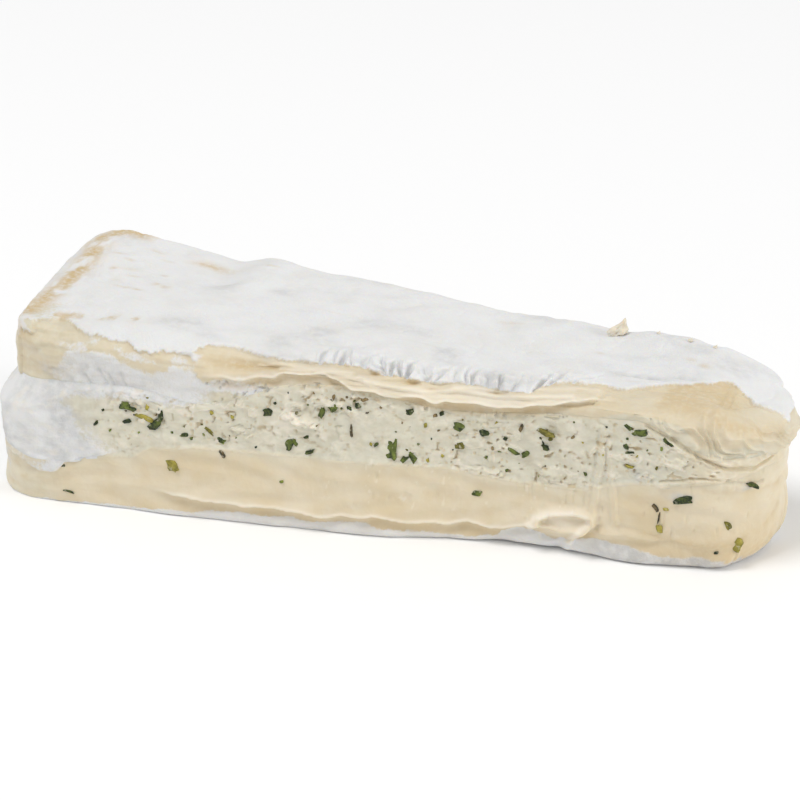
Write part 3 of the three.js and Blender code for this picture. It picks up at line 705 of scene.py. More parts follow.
def filling_paint(x, y, z):
    """Paint of the filling: mould at the rim and under the upper half, and paste over it at the nose; painted
    shade in its pits, cracks and the nose's fold and crack, and painted highlights on its flake edges.
    """
    mottle = rough(x, y, z, (5, 5, 3.5), 4, 91)
    mould = 1 - ease(-1.5, 1.5, x - 25 - 0.55 * (17 - z) + 4 * mottle)
    band = 0.8 * ease(24.5, 27, z + 1.5 * mottle) * ease(53, 44, x)
    bloom = np.maximum(np.maximum(mould, band), smear_cover(x, y, z))
    w = round_nose(x, y)
    dragged_over = ease(146, 160, w + 5 * mottle)
    above_seam = z - between(LOW_FRONT, LOW_BACK, x, y) + 0.5 * mottle
    below_seam = ease(-0.2, 0.6, between(HIGH_FRONT, HIGH_BACK, x, y) - z + 0.5 * mottle)
    fresh = 0.1 + 0.9 * ease(0, 0.9, above_seam) * np.maximum(below_seam, ease(70, 60, x))
    # Painted shade: the hollowness gives tan in the pits and cracks of broken filling.
    _, hollow, flaky = crumble(x, y, z)
    shown = np.clip(crumbliness(x, y, z), 0, 1)
    # Painted shade: tan along the fold and the crack across the nose.
    cracks = ease(10, 5, y) * (0.3 * stroke(w, z, NOSE_FOLD, 0.4) + 0.25 * stroke(w, z, NOSE_CRACK, 0.3))
    grey_and_shade = 0.7 * ovals(x, z, MOULD_SHADES) * ease(-20, -26, y) + ovals(x, z, HERB_SHADES) * ease(-5, -10, y)
    grey_and_shade = grey_and_shade + 0.75 * ease(-0.4, 0.35, mottle) * bloom
    grain = rough(x, y, z, (2.2, 2.2, 1.5), 4, 92)
    # Painted highlights: pale on the edges of flakes; the grain and the curd lump are pale cheese.
    pale_and_highlight = 0.3 * ease(0.1, 0.5, grain) + 0.6 * flaky * shown
    pale_and_highlight = pale_and_highlight + ovals(x, z, CURD_TINT) * ease(2, -2, y)
    return {
        "pale_and_highlight": np.clip(pale_and_highlight, 0, 1),
        "bloom": bloom,
        "fresh": (1 - 0.7 * dragged_over) * fresh,
        "stain_and_shade": np.clip(0.8 * hollow * shown + cracks, 0, 1),
        "broken": shown * (1 - dragged_over) * (1 - bloom),
        "grey_and_shade": np.clip(grey_and_shade, 0, 1),
    }


def bottom_paint(x, y, z):
    """Paint of the lower half: rind under the lip and at the rim, smeared mould, and paste elsewhere with
    pale flecks and darker streaks. The lip's edge and the curl have painted highlights, and there is painted
    shade under the lip and on the rind low on the front right."""
    mottle = rough(x, y, z, (5, 5, 3.5), 4, 101)
    ragged = 0.3 * noise(x, y, z, 3, 102) + 0.2 * noise(x, y, z, 1, 103)
    edge = between(LOW_RIND_EDGE, [(0, 4), (170, 3)], x, y)
    bloom = ease(0.25, -0.25, z - edge + ragged)
    rim = (1 - ease(3, 10, x + 4 * mottle)) * ease(-0.1, 0.3, mottle + 0.06 * (y + 25))
    smear = smear_cover(x, y, z) * (1 - 0.7 * ease(18, 11, x + 5 * mottle))
    bloom = np.maximum(np.maximum(bloom, rim), smear)
    front = ease(2, -2, y)
    above_lip = z - curve(x, LOWER_LIP)
    # Painted highlight: pale along the lower lip's edge.
    lip_highlight = bell(above_lip - wobble(x, 31), 0.4, 0.4) * window(x, 38, 46, 119, 125)
    # Painted shade: tan under the lower lip.
    shade_under_lip = 0.3 * front * ease(0.1, -0.5, above_lip) * window(x, 38, 46, 117, 122)
    foot = front * (0.35 * ease(17, 5, z) * ease(138, 156, x) + 0.2 * ease(7, 3.5, z) * ease(124, 134, x))
    streak = 0.25 * sum(stroke(round_nose(x, y), z, line, 0.7) for line in NOSE_STREAKS) * ease(10, 5, y)
    corner = 0.35 * ease(24, 10, x) * ease(40, -24, y) * ease(-0.1, 0.4, rough(x, y, z, (4, 4, 2.5), 4, 104))
    grey_and_shade = ovals(x, z, [(150.8, 16.8, 2.6, 0.9, 1.0), (164, 18.6, 1.6, 0.8, 0.8)]) * ease(0, -5, y)
    # Grey mould, mottled and at the left end, and painted shade on the rind of the front past x 130.
    thin = 0.25 * ease(-0.1, 0.4, mottle) + front * ease(130, 142, x) + 0.5 * ease(4, 8, z) * ease(40, 20, x)
    grey_and_shade = grey_and_shade + bloom * thin
    flecks = 0.35 * ease(0.62, 0.8, noise(x, y, z, (0.6, 2, 1.2), 36)) * ease(6, 8, z)
    flecks = flecks * window(x, 66, 80, 126, 136)
    # Painted highlights: pale along the curl's rim and in its hollow.
    curl = 0.8 * stroke(x, z, CURL_RIM, 0.6) + ovals(x, z, [(126.5, 7.8, 5, 2, 0.6)])
    fresh = 0.25 * ease(-4, 0, z - between(LOW_FRONT, LOW_BACK, x, y) + mottle)
    return {
        "broken": 0 * z,
        "pale_and_highlight": np.clip((0.8 * lip_highlight + curl + flecks) * front, 0, 1),
        "bloom": np.clip(bloom, 0, 1),
        "fresh": np.maximum(fresh, 0.45 * ease(24, 12, x)),
        "stain_and_shade": np.clip((shade_under_lip + foot + corner + streak) * (1 - 0.7 * bloom), 0, 1),
        "grey_and_shade": np.clip(grey_and_shade, 0, 1),
    }


# The three layers.
def wall(relief, a, b, x0, y0, z):
    """Points of a wall: the outline, moved out by the relief, at the height z."""
    x, y = outline(a, b, -relief(x0, y0, z))
    return np.stack([x, y, z + 0 * x], -1)


def bottom_half(material):
    """Rings up the rounded foot and the wall, a flat underside and a hidden strip cap."""
    a, b = stations()
    x0, y0 = outline(a, b, 0.0)
    turn = np.linspace(0, np.pi / 2, FOOT_LEVELS)[:, None]
    rise = curve(x0, FOOT_RISE) * (1 + 0.35 * noise(x0, y0, 0 * x0, 3, 112))
    back = drawn_back(BOTTOM_SET, x0)
    out = (bottom_relief(x0, y0, rise) + back) * np.sin(turn) - back
    x, y = outline(a, b, curve(x0, FOOT_IN) * (1 - np.sin(turn)) - out)
    foot = np.stack([x, y, rise * (1 - np.cos(turn))], -1)
    seam = between(LOW_FRONT, LOW_BACK, x0, y0)[None]
    z = rise + (seam - rise) * np.linspace(0, 1, BOTTOM_WALL_LEVELS - 1)[1:, None]
    z = np.concatenate([z, seam + SEAM_OVERLAP])
    rings = np.concatenate([foot, wall(bottom_relief, a, b, x0 + 0 * z, y0 + 0 * z, z)])
    inner_a, inner_b = inner_square()
    inner_x0, _ = outline(inner_a, inner_b, 0.0)
    inner_x, inner_y = outline(inner_a, inner_b, curve(inner_x0, FOOT_IN) + drawn_back(BOTTOM_SET, inner_x0))
    mat = 0.2 * ease(0.1, 0.5, noise(inner_x, inner_y, 0 * inner_x, (2.5, 60, 9), 111))
    middle = (1 - np.abs(inner_a) ** 8) * (1 - np.abs(inner_b) ** 8)
    points = np.concatenate([rings.reshape(-1, 3), np.stack([inner_x, inner_y, mat * middle], -1)])
    levels = FOOT_LEVELS + BOTTOM_WALL_LEVELS - 1
    strips, fans = strip_cap((levels - 1) * len(a), up=True)
    quads = np.concatenate([wall_quads(levels, len(a)), strips, grid_cap(0, levels * len(a), up=False)])
    paint = bottom_paint(*points.T)
    return make_piece("lower_half", points, quads, fans, paint, material, "brie_bottom")


def filling_layer(material):
    """Rings up the filling's wall between two hidden strip caps."""
    a, b = stations()
    x0, y0 = outline(a, b, 0.0)
    low = between(LOW_FRONT, LOW_BACK, x0, y0)[None]
    high = between(HIGH_FRONT, HIGH_BACK, x0, y0)[None]
    z = low + (high - low) * np.linspace(0, 1, FILLING_LEVELS - 2)[:, None]
    z = np.concatenate([low - SEAM_OVERLAP, z, high + SEAM_OVERLAP])
    points = wall(filling_relief, a, b, x0 + 0 * z, y0 + 0 * z, z).reshape(-1, 3)
    paint = filling_paint((x0 + 0 * z).ravel(), (y0 + 0 * z).ravel(), z.ravel())
    under, under_fans = strip_cap(0, up=False)
    over, over_fans = strip_cap((FILLING_LEVELS - 1) * len(a), up=True)
    quads = np.concatenate([wall_quads(FILLING_LEVELS, len(a)), under, over])
    fans = np.concatenate([under_fans, over_fans])
    return make_piece("filling", points, quads, fans, paint, material, "herb_filling")


def over_the_top(a, b, y, side):
    """The unrolled height of points of the top, from the cut in front (side -1) or behind (side 1)."""
    inset, drop = brow(*outline(a, side + 0 * b, 0.0))
    border_x, border_y = outline(a, side + 0 * b, inset)
    brow_end = top_height(border_x, border_y) - drop + (inset + drop) * np.pi / 4
    return brow_end + np.abs(y - border_y)


def top_face():
    """The grid over the top, inside the brow: its plain places, its unrolled heights and its points."""
    a, b = inner_square()
    inset, _ = brow(*outline(a, b, 0.0))
    x, y = outline(a, b, inset)
    z = top_height(x, y)
    s = {
        "front": over_the_top(a, b, y, -1.0),
        "back": over_the_top(a, b, y, 1.0),
        "nose": np.full_like(z, FAR),
    }
    inside = (1 - np.abs(a) ** 16) * (1 - np.abs(b) ** 16)
    skin = 0.3 * rough(x, y, 0 * x, (9, 6, 5), 4, 121)
    skin = skin - 0.15 * crease(3 * noise(x, y, 0 * x, (9, 2.2, 5), 122), 5)
    relief = top_relief(x, y, z, s) + skin * inside
    return (x, y, z), s, np.stack([x, y, z + relief], -1)


def top_half(material):
    """Rings up the wall and round the brow, and a grid over the top; the relief stands out of the wall, turns
    with the brow and stands up on the top."""
    a, b = stations()
    x0, y0 = outline(a, b, 0.0)
    inset, drop = brow(x0, y0)
    arc = (inset + drop) / 2
    start = top_height(*outline(a, b, inset)) - drop
    seam = between(HIGH_FRONT, HIGH_BACK, x0, y0)[None]
    wall_z = seam + (start - seam) * np.linspace(0, 1, TOP_WALL_LEVELS - 1)[:, None]
    wall_z = np.concatenate([seam - SEAM_OVERLAP, wall_z])
    turn = np.linspace(0, np.pi / 2, BROW_LEVELS)[1:, None]
    turn = np.concatenate([np.zeros((TOP_WALL_LEVELS, 1)), turn]) + 0 * x0
    z = np.concatenate([wall_z, start + 0 * turn[TOP_WALL_LEVELS:]]) + drop * np.sin(turn)
    unrolled = np.concatenate([wall_z, (start + arc * turn)[TOP_WALL_LEVELS:]])
    s = {
        "front": np.where(b == -1, unrolled, FAR),
        "back": np.where(b == 1, unrolled, FAR),
        "nose": np.where(a == 1, unrolled, FAR),
    }
    plan_inset = inset * (1 - np.cos(turn))
    plan_x, plan_y = outline(a, b, plan_inset)
    relief = top_relief(plan_x, plan_y, z, s)
    x, y = outline(a, b, plan_inset + (drawn_back(TOP_SET, x0) - relief) * np.cos(turn))
    rings = np.stack([x, y, z + relief * np.sin(turn)], -1)

    face_at, face_s, face = top_face()
    points = np.concatenate([rings.reshape(-1, 3), face])
    s = {side: np.concatenate([s[side].ravel(), face_s[side]]) for side in s}
    at = [np.concatenate([ring.ravel(), inner]) for ring, inner in zip((plan_x, plan_y, z), face_at)]
    levels = TOP_WALL_LEVELS + BROW_LEVELS - 1
    strips, fans = strip_cap(0, up=False)
    cap = grid_cap((levels - 1) * len(a), levels * len(a), up=True)
    quads = np.concatenate([wall_quads(levels, len(a)), strips, cap])
    paint = upper_paint(*at, s)
    return make_piece("upper_half", points, quads, fans, paint, material, "brie_top")


# Herbs and crumbs: small rounded slabs set in a cut.
CHIP_ROUND = 12
CHIP_LEVELS = 6
NO_TRIANGLES = np.empty((0, 3), int)
CUT_TURN = np.arctan((RIM_WIDTH - NOSE_WIDTH) / 2 / LENGTH)  # how far each cut turns from the x axis
NEAR_CUT = 20.0  # a y that is plainly on the front or the back side

# The pieces of the front cut that stand out: x, z, length and width in mm, turn in degrees, darkness.
CHIVES = [
    (33.2, 24.6, 2.6, 2.0, 10, 0.35), (34.6, 24.0, 2.8, 0.9, 165, 0.6), (41.4, 23.2, 3.4, 1.2, 80, 0.8),
    (40.2, 20.9, 3.4, 1.7, 50, 0.75), (46.1, 19.2, 2.8, 0.9, 12, 0.7), (33.4, 20.8, 2.4, 0.9, 25, 0.8),
    (54.2, 18.9, 2.2, 1.1, 150, 0.7), (64.6, 26.3, 2.2, 1.8, 10, 0.9), (69.0, 19.3, 3.0, 2.1, 70, 0.6),
    (70.5, 20.0, 1.6, 1.0, 140, 0.5), (72.8, 21.7, 1.5, 1.0, 0, 0.6), (73.5, 18.2, 2.4, 0.9, 15, 0.5),
    (76.3, 27.6, 2.9, 1.3, 75, 0.5), (78.6, 29.4, 2.6, 1.9, 130, 0.4), (82.2, 29.1, 1.2, 0.8, 0, 0.8),
    (84.0, 29.9, 1.4, 1.1, 120, 0.7), (87.8, 21.4, 1.0, 0.7, 30, 1.0), (91.0, 20.6, 5.6, 2.3, 84, 0.4),
    (93.2, 18.0, 2.4, 1.2, 55, 0.7), (95.0, 18.6, 3.0, 1.3, 125, 0.6), (94.4, 29.1, 1.7, 1.2, 0, 0.8),
    (100.8, 28.6, 1.3, 0.9, 20, 0.8), (103.9, 26.0, 3.2, 1.7, 160, 0.4), (109.5, 25.2, 1.8, 1.5, 30, 0.9),
    (114.2, 24.4, 1.1, 0.9, 60, 0.8), (116.0, 21.8, 3.0, 0.8, 155, 0.6), (118.4, 21.4, 1.7, 1.2, 20, 0.5),
    (121.6, 24.6, 2.4, 1.6, 140, 0.8), (122.6, 23.4, 1.4, 1.2, 0, 0.9), (142.3, 30.0, 4.0, 1.6, 8, 0.55),
    (140.2, 30.8, 1.8, 0.8, 140, 0.7), (139.7, 26.6, 1.4, 1.1, 100, 0.8), (140.8, 24.8, 2.2, 1.5, 20, 0.8),
    (148.2, 28.6, 2.6, 0.6, 150, 0.7), (166.4, 19.2, 4.0, 1.0, 0, 0.8), (159.5, 4.6, 1.0, 0.6, 0, 1.0),
    (17.4, 8.6, 1.8, 1.3, 60, 0.9), (26.0, 19.6, 1.4, 0.7, 50, 0.9), (18.7, 3.0, 3.0, 0.5, 175, 0.7),
    (67.8, 11.0, 1.0, 0.6, 20, 0.2), (108.2, 11.4, 2.4, 1.1, 175, 0.3), (151.6, 16.3, 4.2, 1.6, 12, 0.8),
]
OLIVES = [
    (37.8, 22.1, 5.0, 1.4, 165, 0.2), (43.9, 11.8, 3.0, 2.6, 100, 0.5), (38.4, 24.6, 1.4, 0.8, 70, 0.1),
    (51.4, 21.0, 3.6, 0.8, 150, 0.6), (104.4, 21.7, 2.8, 1.6, 20, 0.6), (97.6, 26.0, 0.8, 1.1, 0, 0.1),
    (122.4, 26.9, 4.0, 1.2, 160, 0.5), (140.6, 22.2, 1.9, 0.5, 170, 0.4), (148.4, 13.6, 1.3, 0.7, 10, 0.3),
    (147.0, 9.0, 1.6, 2.0, 0, 0.1), (161.4, 10.6, 2.2, 1.6, 140, 0.5), (163.4, 6.2, 3.4, 3.0, 75, 0.2),
]
TWIGS = [
    (82.6, 23.9, 2.9, 0.6, 92, 0.8), (55.0, 16.0, 2.2, 0.9, 120, 0.9), (117.4, 27.4, 1.6, 0.7, 70, 0.6),
    (146.3, 13.6, 1.9, 1.0, 140, 0.9), (146.9, 11.4, 2.6, 0.4, 85, 0.7), (128.5, 26.6, 1.1, 0.6, 50, 0.5),
    (78.8, 31.2, 1.2, 0.8, 60, 0.4), (99.5, 28.2, 1.0, 0.7, 20, 0.4), (85.4, 31.4, 1.6, 0.7, 30, 0.3),
]


def cut_place(x, z, side):
    """Points of the cut of the filling or the lower half, in front for side -1 and behind for side 1."""
    a = 2 * x / LENGTH - 1
    y = NEAR_CUT * side + 0 * x
    in_filling = (z > between(LOW_FRONT, LOW_BACK, x, y)) & (z < between(HIGH_FRONT, HIGH_BACK, x, y))
    return outline(a, side + 0 * a, -np.where(in_filling, filling_relief(x, y, z), bottom_relief(x, y, z)))


def squared(value, power):
    """A sine or cosine pushed towards -1 and 1, which squares off a ball's sides."""
    return np.sign(value) * np.abs(value) ** power


def chips(rows, side, thick, proud, seed):
    """Rounded slabs, one for each row (x, z, length, width, turn, darkness): points of a ball with its sides
    squared off, flattened, bent, made uneven by noise, leaned so that one edge sinks in, turned in the cut's
    plane and set into it so that proud mm stand out. Returns points, quads and tone."""
    x, z, long, wide, degrees, dark = np.array(rows, float).T[:, :, None, None]
    at_x, at_y = cut_place(x, z, side)
    up = np.linspace(-np.pi / 2, np.pi / 2, CHIP_LEVELS)[None, :, None]
    around = np.linspace(0, 2 * np.pi, CHIP_ROUND, endpoint=False)[None, None, :]
    count = np.arange(len(rows))[:, None, None]
    flat = squared(np.cos(up), 0.35)
    across = flat * squared(np.cos(around + 0.4 * np.sin(5 * count)), 0.6)
    along = flat * squared(np.sin(around), 0.6)
    uneven = 1 + 0.3 * noise(2.2 * across + 17 * count, 2.2 * along, up, 1.0, seed)
    p = across * long / 2 * uneven
    q = along * wide / 2 * uneven + 0.10 * long * (across**2 - 0.4) * np.sin(7 * count)
    lean = 0.22 * np.sin(3 * count) * q + 0.1 * np.sin(5 * count + 1) * p
    groove = -0.08 * wide * np.exp(-((along / 0.45) ** 2)) * (up > 0)
    depth = squared(np.sin(up), 0.5) * thick / 2 + lean + groove
    turn = np.radians(degrees)
    dx = p * np.cos(turn) - q * np.sin(turn)
    dz = p * np.sin(turn) + q * np.cos(turn)
    tilt = side * CUT_TURN
    out = depth + proud - thick / 2
    points = np.stack([at_x + dx * np.cos(tilt), at_y + side * out - dx * np.sin(tilt) * side, z + dz], -1)
    quads = wall_quads(CHIP_LEVELS, CHIP_ROUND)[:, [0, 3, 2, 1]]  # x, z and +y are a left-handed frame,
    if side < 0:  # and x, z and -y a right-handed one
        quads = quads[:, ::-1]
    quads = repeated(quads, len(rows), CHIP_ROUND * CHIP_LEVELS)
    rim = np.maximum(np.abs(across), np.abs(along))
    mottled = 0.5 * noise(x + dx, 0 * dx, z + dz, 0.7, seed + 50)
    tone = np.clip(dark + 0.35 * ease(0.6, 1, rim) + mottled, 0, 1)
    return points.reshape(-1, 3), quads, tone.ravel()


def strewn(count, seed, side, long, wide):
    """Rows for small pieces spread over the filling's cut by a golden-ratio rule, clear of both seams."""
    i = np.arange(count)
    draws = [lattice_draw(i, 0 * i, 0 * i, seed + n) for n in range(4)]
    x = 27 + 126 * ((i * 0.6180 + 0.07 * seed) % 1)
    y = np.full(count, NEAR_CUT * side)
    low = between(LOW_FRONT, LOW_BACK, x, y) + 1.4
    high = between(HIGH_FRONT, HIGH_BACK, x, y) - 1.2
    z = low + (high - low) * ((i * 0.7549 + 0.13 * seed) % 1)
    length = long[0] + (long[1] - long[0]) * draws[0] ** 2
    width = np.minimum(wide[0] + (wide[1] - wide[0]) * draws[1], length)
    return np.stack([x, z, length, width, 180 * draws[2], draws[3]], -1).tolist()


def small_pieces(name, groups, material):
    """One piece of the filling from several groups of chips."""
    points, quads, tones, first = [], [], [], 0
    for group in groups:
        some_points, some_quads, tone = chips(*group)
        points.append(some_points)
        quads.append(some_quads + first)
        tones.append(tone)
        first += len(some_points)
    points, quads, paint = np.concatenate(points), np.concatenate(quads), {"tone": np.concatenate(tones)}
    return make_piece(name, points, quads, NO_TRIANGLES, paint, material, "herb_filling")


# Crumbs on the back edge of the top: the points of each, and x, y and size.
CRUMB_LEVELS = 30
CRUMB_ROUND = 48
TOP_CRUMBS = [(128.6, 13.2, 1.0), (144.6, 13, 0.25), (150, 12.8, 0.22), (137.4, 14, 0.2)]


def top_crumbs(material):
    """Lumps of fresh cheese on the back edge, each a ball pushed in and out by noise and drawn up to one
    side. The largest is 4 mm across."""
    up = np.linspace(0, np.pi, CRUMB_LEVELS)[None, :, None]
    around = np.linspace(0, 2 * np.pi, CRUMB_ROUND, endpoint=False)[None, None, :]
    at_x, at_y, size = np.array(TOP_CRUMBS).T[:, :, None, None]
    x, y, z = np.sin(up) * np.cos(around), np.sin(up) * np.sin(around), np.cos(up) + 0 * around
    bulk = (1 + 0.75 * rough(x + at_x, y, z, 0.8, 3, 131)) * size
    spire = 1.3 * bell(x, 0.45, 0.3) * np.maximum(z, 0)
    height = top_height(at_x, at_y) + 0.7 * size
    out_x, out_y, out_z = (2.1 * x + 0.6 * z) * bulk, 1.7 * y * bulk, (1.5 * z + spire) * bulk
    points = np.stack([at_x + out_x, at_y + out_y, height + out_z], -1).reshape(-1, 3)
    quads = wall_quads(CRUMB_LEVELS, CRUMB_ROUND)[:, ::-1]
    quads = repeated(quads, len(TOP_CRUMBS), CRUMB_LEVELS * CRUMB_ROUND)
    even = {"bloom": 0.3, "fresh": 0.5, "grey_and_shade": 0.0, "pale_and_highlight": 0.4, "broken": 0.0}
    paint = {key: np.full(len(points), value) for key, value in even.items()}
    paint["stain_and_shade"] = 0.4 * ease(0.1, 0.5, -rough(*points.T, 1.5, 2, 132))
    return make_piece("top_crumbs", points, quads, NO_TRIANGLES, paint, material, "brie_top")


# Materials.
def colour(code):
    """A linear colour with alpha from an sRGB hex code."""
    srgb = np.array([int(code[i:i + 2], 16) / 255 for i in (1, 3, 5)])
    linear = np.where(srgb <= 0.04045, srgb / 12.92, ((srgb + 0.055) / 1.055) ** 2.4)
    return (*linear, 1.0)


class Shading:
    """A new material's nodes, built by short calls. place is the piece's own coordinates in metres."""

    def __init__(self, name):
        self.material = bpy.data.materials.new(name)
        self.material.use_nodes = True
        self.tree = self.material.node_tree
        self.tree.nodes.clear()
        self.place = self.node("ShaderNodeTexCoord").outputs["Object"]

    def node(self, kind, inputs=None, **settings):
        """A node with its settings; an input that is a socket is linked, and any other value is set."""
        made = self.tree.nodes.new(kind)
        for key, value in settings.items():
            setattr(made, key, value)
        for key, value in (inputs or {}).items():
            if isinstance(value, bpy.types.NodeSocket):
                self.tree.links.new(value, made.inputs[key])
            else:
                made.inputs[key].default_value = value
        return made

    def paint(self, key):
        """The paint of that name, as make_piece() stored it."""
        return self.node("ShaderNodeAttribute", attribute_name=key).outputs["Fac"]

    def speckle(self, size_mm, detail, roughness=0.5):
        """A noise node with lumps of that size."""
        inputs = {"Vector": self.place, "Scale": 1000 / size_mm, "Detail": detail, "Roughness": roughness}
        return self.node("ShaderNodeTexNoise", inputs)

    def cloud(self, size_mm, detail=3.0, roughness=0.55):
        """Noise from 0 to 1 with lumps of that size."""
        return self.speckle(size_mm, detail, roughness).outputs["Fac"]

    def blend(self, factor, first, second):
        """The first colour where factor is 0, and the second where it is 1."""
        inputs = {"Factor": factor, "A": first, "B": second}
        return self.node("ShaderNodeMix", inputs, data_type="RGBA").outputs["Result"]

    def remap(self, value, low, high, to_low=0.0, to_high=1.0, kind="SMOOTHSTEP"):
        """value taken from one range to another."""
        inputs = {"Value": value, "From Min": low, "From Max": high, "To Min": to_low, "To Max": to_high}
        return self.node("ShaderNodeMapRange", inputs, interpolation_type=kind).outputs["Result"]

    def maths(self, operation, *values, **settings):
        """A calculation on single values."""
        made = self.node("ShaderNodeMath", dict(enumerate(values)), operation=operation, **settings)
        return made.outputs["Value"]

    def bump(self, height, strength, depth, under=None):
        """Normals bumped by height, of that depth in metres, on top of other bumps where given."""
        inputs = {"Height": height, "Strength": strength, "Distance": depth}
        if under is not None:
            inputs["Normal"] = under
        return self.node("ShaderNodeBump", inputs).outputs["Normal"]

    def surface(self, inputs):
        """The material, finished with a principled shader."""
        shader = self.node("ShaderNodeBsdfPrincipled", inputs)
        self.node("ShaderNodeOutputMaterial", {"Surface": shader.outputs[0]})
        return self.material


PASTE = ("#e0d4bb", "#d9c9a9")
FRESH = ("#dad6c4", "#d0cab6")
RIND = ("#e5e5e4", "#e1e0dd")
# The grey is for grey mould and also painted shade; the tan for stains and also painted shade in hollows; the
# pale cream for pale cheese and also painted highlights.
GREY_MOULD_AND_SHADE = "#c2c2c1"
STAIN_AND_SHADE = "#cdb68d"
PALE_AND_HIGHLIGHT = "#f0e8d8"


def cheese():
    """Soft ripened cheese. The paste is moist, satin and slightly translucent, and the fresh cheese paler and
    duller. The rind is a felt of white mould: matt, neutral white, with grain about 0.4 mm across, grey where
    thin and tan where worn. Broken fresh cheese has pits some 0.6 mm across, with painted shade in them. The
    paints say where rind, fresh cheese, tan stains, grey mould, pale cheese and broken cheese lie; the tan
    paint also carries painted shade in hollows, the grey paint painted shade in a dent and on the lower rind,
    and the pale paint painted highlights on lips, ridges and flake edges."""
    look = Shading("soft_cheese")
    patchy = look.remap(look.cloud(0.8), 0.3, 0.7, -0.22, 0.22)
    covered = look.remap(look.maths("ADD", look.paint("bloom"), patchy), 0.15, 0.85)
    paste = look.blend(look.remap(look.cloud(9, 4), 0.35, 0.7), colour(PASTE[0]), colour(PASTE[1]))
    fresh = look.blend(look.remap(look.cloud(2.5, 5), 0.35, 0.7), colour(FRESH[0]), colour(FRESH[1]))
    body = look.blend(look.paint("fresh"), paste, fresh)
    rind = look.blend(look.remap(look.cloud(7, 5), 0.4, 0.75), colour(RIND[0]), colour(RIND[1]))
    # The grey paint mixes in grey mould and painted shade.
    greyed = look.maths("MULTIPLY", look.paint("grey_and_shade"), look.remap(look.cloud(2, 5), 0.3, 0.65, 0.3, 0.9))
    mould_and_shade = look.blend(greyed, look.blend(covered, body, rind), colour(GREY_MOULD_AND_SHADE))
    # The tan paint mixes in stains and painted shade in hollows.
    tan_tint = look.maths("MULTIPLY", look.paint("stain_and_shade"), look.remap(look.cloud(1.2, 4), 0.25, 0.6, 0.45, 1.0))
    shift = {0: look.speckle(0.8, 2.0).outputs["Color"], 1: (0.0007, 0.0007, 0.0007), 2: look.place}
    bent = look.node("ShaderNodeVectorMath", shift, operation="MULTIPLY_ADD").outputs["Vector"]
    cells = look.node("ShaderNodeTexVoronoi", {"Vector": bent, "Scale": 1000 / 1.3})
    chosen = look.remap(cells.outputs["Color"], 0.5, 0.56)
    # Painted shade: tan in the pits of broken cheese.
    pits = look.maths("MULTIPLY", look.remap(cells.outputs["Distance"], 0.34, 0.2), chosen)
    pits = look.maths("MULTIPLY", pits, look.paint("broken"))
    base = look.blend(look.maths("MAXIMUM", tan_tint, look.maths("MULTIPLY", pits, 0.55)), mould_and_shade, colour(STAIN_AND_SHADE))
    # The pale paint mixes in pale cheese and painted highlights.
    base = look.blend(look.paint("pale_and_highlight"), base, colour(PALE_AND_HIGHLIGHT))
    gloss = look.node("ShaderNodeMix", {"Factor": covered, "A": 0.45, "B": 0.85}, data_type="FLOAT")
    skin = look.bump(look.maths("SUBTRACT", look.cloud(0.9, 4, 0.6), pits), 0.35, 0.0003)
    felt = look.maths("MULTIPLY", look.cloud(0.45, 4, 0.7), covered)
    return look.surface({
        "Base Color": base, "Roughness": gloss.outputs["Result"],
        "Normal": look.bump(felt, 0.5, 0.0003, skin), "IOR": 1.42, "Specular IOR Level": 0.35,
        "Subsurface Weight": 0.3, "Subsurface Radius": (1.0, 0.7, 0.4), "Subsurface Scale": 0.001,
    })


def herb(name, light, dark):
    """Cut chive or leaf in cheese: damp and satin, darker where soaked, with a thin film of cheese in places;
    the paint tone says how dark."""
    look = Shading(name)
    fibres = look.cloud(0.5, 4.0, 0.5)
    shade = look.maths("MULTIPLY_ADD", fibres, 1.2, -0.6)
    mottled = look.maths("ADD", shade, look.paint("tone"), use_clamp=True)
    tint = look.blend(mottled, colour(light), colour(dark))
    film = look.remap(look.cloud(1.1, 3.0, 0.5), 0.6, 0.72, to_high=0.6, kind="LINEAR")
    return look.surface({
        "Base Color": look.blend(film, tint, colour(FRESH[1])), "Roughness": 0.45,
        "Normal": look.bump(fibres, 0.5, 0.0002), "IOR": 1.4,
        "Subsurface Weight": 0.1, "Subsurface Radius": (0.6, 1.0, 0.4), "Subsurface Scale": 0.0006,
    })


def plain_floor():
    """A wide pale floor under the slice."""
    reach = 6.0
    mesh = bpy.data.meshes.new("floor")
    corners = [(-reach, -reach, 0), (reach, -reach, 0), (reach, reach, 0), (-reach, reach, 0)]
    mesh.from_pydata(corners, [], [(0, 1, 2, 3)])
    mesh.materials.append(Shading("pale_floor").surface({"Base Color": colour("#fcfcfc"), "Roughness": 0.9}))
    floor = bpy.data.objects.new("floor", mesh)
    bpy.context.scene.collection.objects.link(floor)


# Light and camera.
def soft_lamp(name, place, size, power, target=(0, 0, 0.02)):
    """A square soft lamp that faces the target."""
    light = bpy.data.lights.new(name, "AREA")
    light.size = size
    light.energy = power
    lamp = bpy.data.objects.new(name, light)
    lamp.location = place
    lamp.rotation_euler = (Vector(target) - Vector(place)).to_track_quat("-Z", "Y").to_euler()
    bpy.context.scene.collection.objects.link(lamp)


def studio():
    """Even daylight from all round, a high key lamp and a weak lamp on the nose's side."""
    world = bpy.data.worlds.new("studio")
    world.use_nodes = True
    background = world.node_tree.nodes["Background"]
    background.inputs["Color"].default_value = (1.0, 1.0, 1.0, 1.0)
    background.inputs["Strength"].default_value = 0.58
    bpy.context.scene.world = world
    soft_lamp("key", (-0.5, -0.7, 2.0), 0.8, 20.0)
    soft_lamp("side", (1.9, -0.1, 0.6), 0.8, 13.0)
    bpy.context.scene.view_settings.view_transform = "Standard"


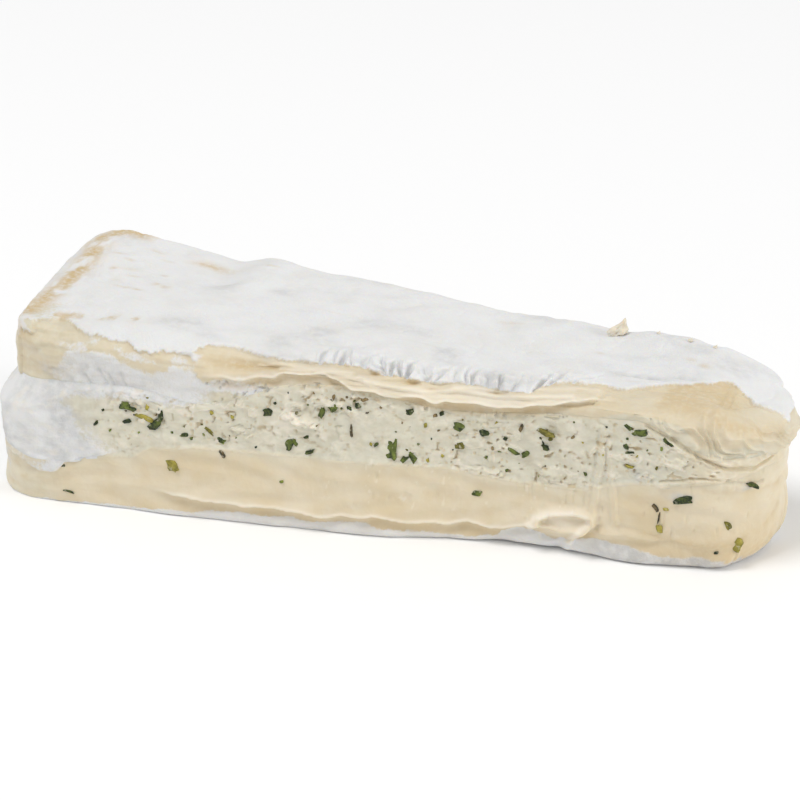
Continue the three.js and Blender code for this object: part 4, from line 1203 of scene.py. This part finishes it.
CAMERA_AZIMUTH = np.radians(19.0)
CAMERA_ELEVATION = np.radians(24.5)
CAMERA_DISTANCE = 0.7
CAMERA_LENS = 148.0
CAMERA_TARGET = Vector((0.0, 0.0, 0.0213))


def photo_camera():
    """A long lens that looks at the slice's middle from the right of the front cut and from above."""
    level, height = np.cos(CAMERA_ELEVATION), np.sin(CAMERA_ELEVATION)
    back = Vector((np.sin(CAMERA_AZIMUTH) * level, -np.cos(CAMERA_AZIMUTH) * level, height))
    camera = bpy.data.objects.new("camera", bpy.data.cameras.new("camera"))
    camera.data.lens = CAMERA_LENS
    camera.location = CAMERA_TARGET + CAMERA_DISTANCE * back
    camera.rotation_euler = back.to_track_quat("Z", "Y").to_euler()
    bpy.context.scene.collection.objects.link(camera)
    bpy.context.scene.camera = camera


photo_camera()
studio()
plain_floor()

soft_cheese = cheese()
top_half(soft_cheese)
filling_layer(soft_cheese)
bottom_half(soft_cheese)
top_crumbs(soft_cheese)

# Each group is its rows, its side, and its pieces' thickness and height out of the cut, with a seed.
chive_groups = [
    (CHIVES, -1, 1.2, 0.32, 1),
    (strewn(46, 3, -1, (0.4, 1.2), (0.35, 0.8)), -1, 0.7, 0.1, 2),
    (strewn(76, 4, 1, (0.5, 4.2), (0.4, 1.9)), 1, 1.0, 0.2, 3),
]
olive_groups = [
    (OLIVES, -1, 1.2, 0.3, 4),
    (strewn(24, 5, -1, (0.4, 1.3), (0.35, 0.8)), -1, 0.7, 0.1, 5),
    (strewn(22, 6, 1, (0.6, 3.6), (0.5, 1.8)), 1, 1.0, 0.2, 6),
]
stalk_groups = [
    (TWIGS, -1, 1.0, 0.3, 7),
    (strewn(22, 7, -1, (0.4, 1.0), (0.3, 0.6)), -1, 0.6, 0.1, 8),
    (strewn(18, 8, 1, (0.6, 2.8), (0.4, 0.8)), 1, 0.9, 0.2, 9),
]
small_pieces("chive_pieces", chive_groups, herb("chive_green", "#7d8a3a", "#202d12"))
small_pieces("leaf_flakes", olive_groups, herb("leaf_olive", "#b2a548", "#5c5922"))
small_pieces("stalk_bits", stalk_groups, herb("stalk_brown", "#9a8458", "#3a3422"))
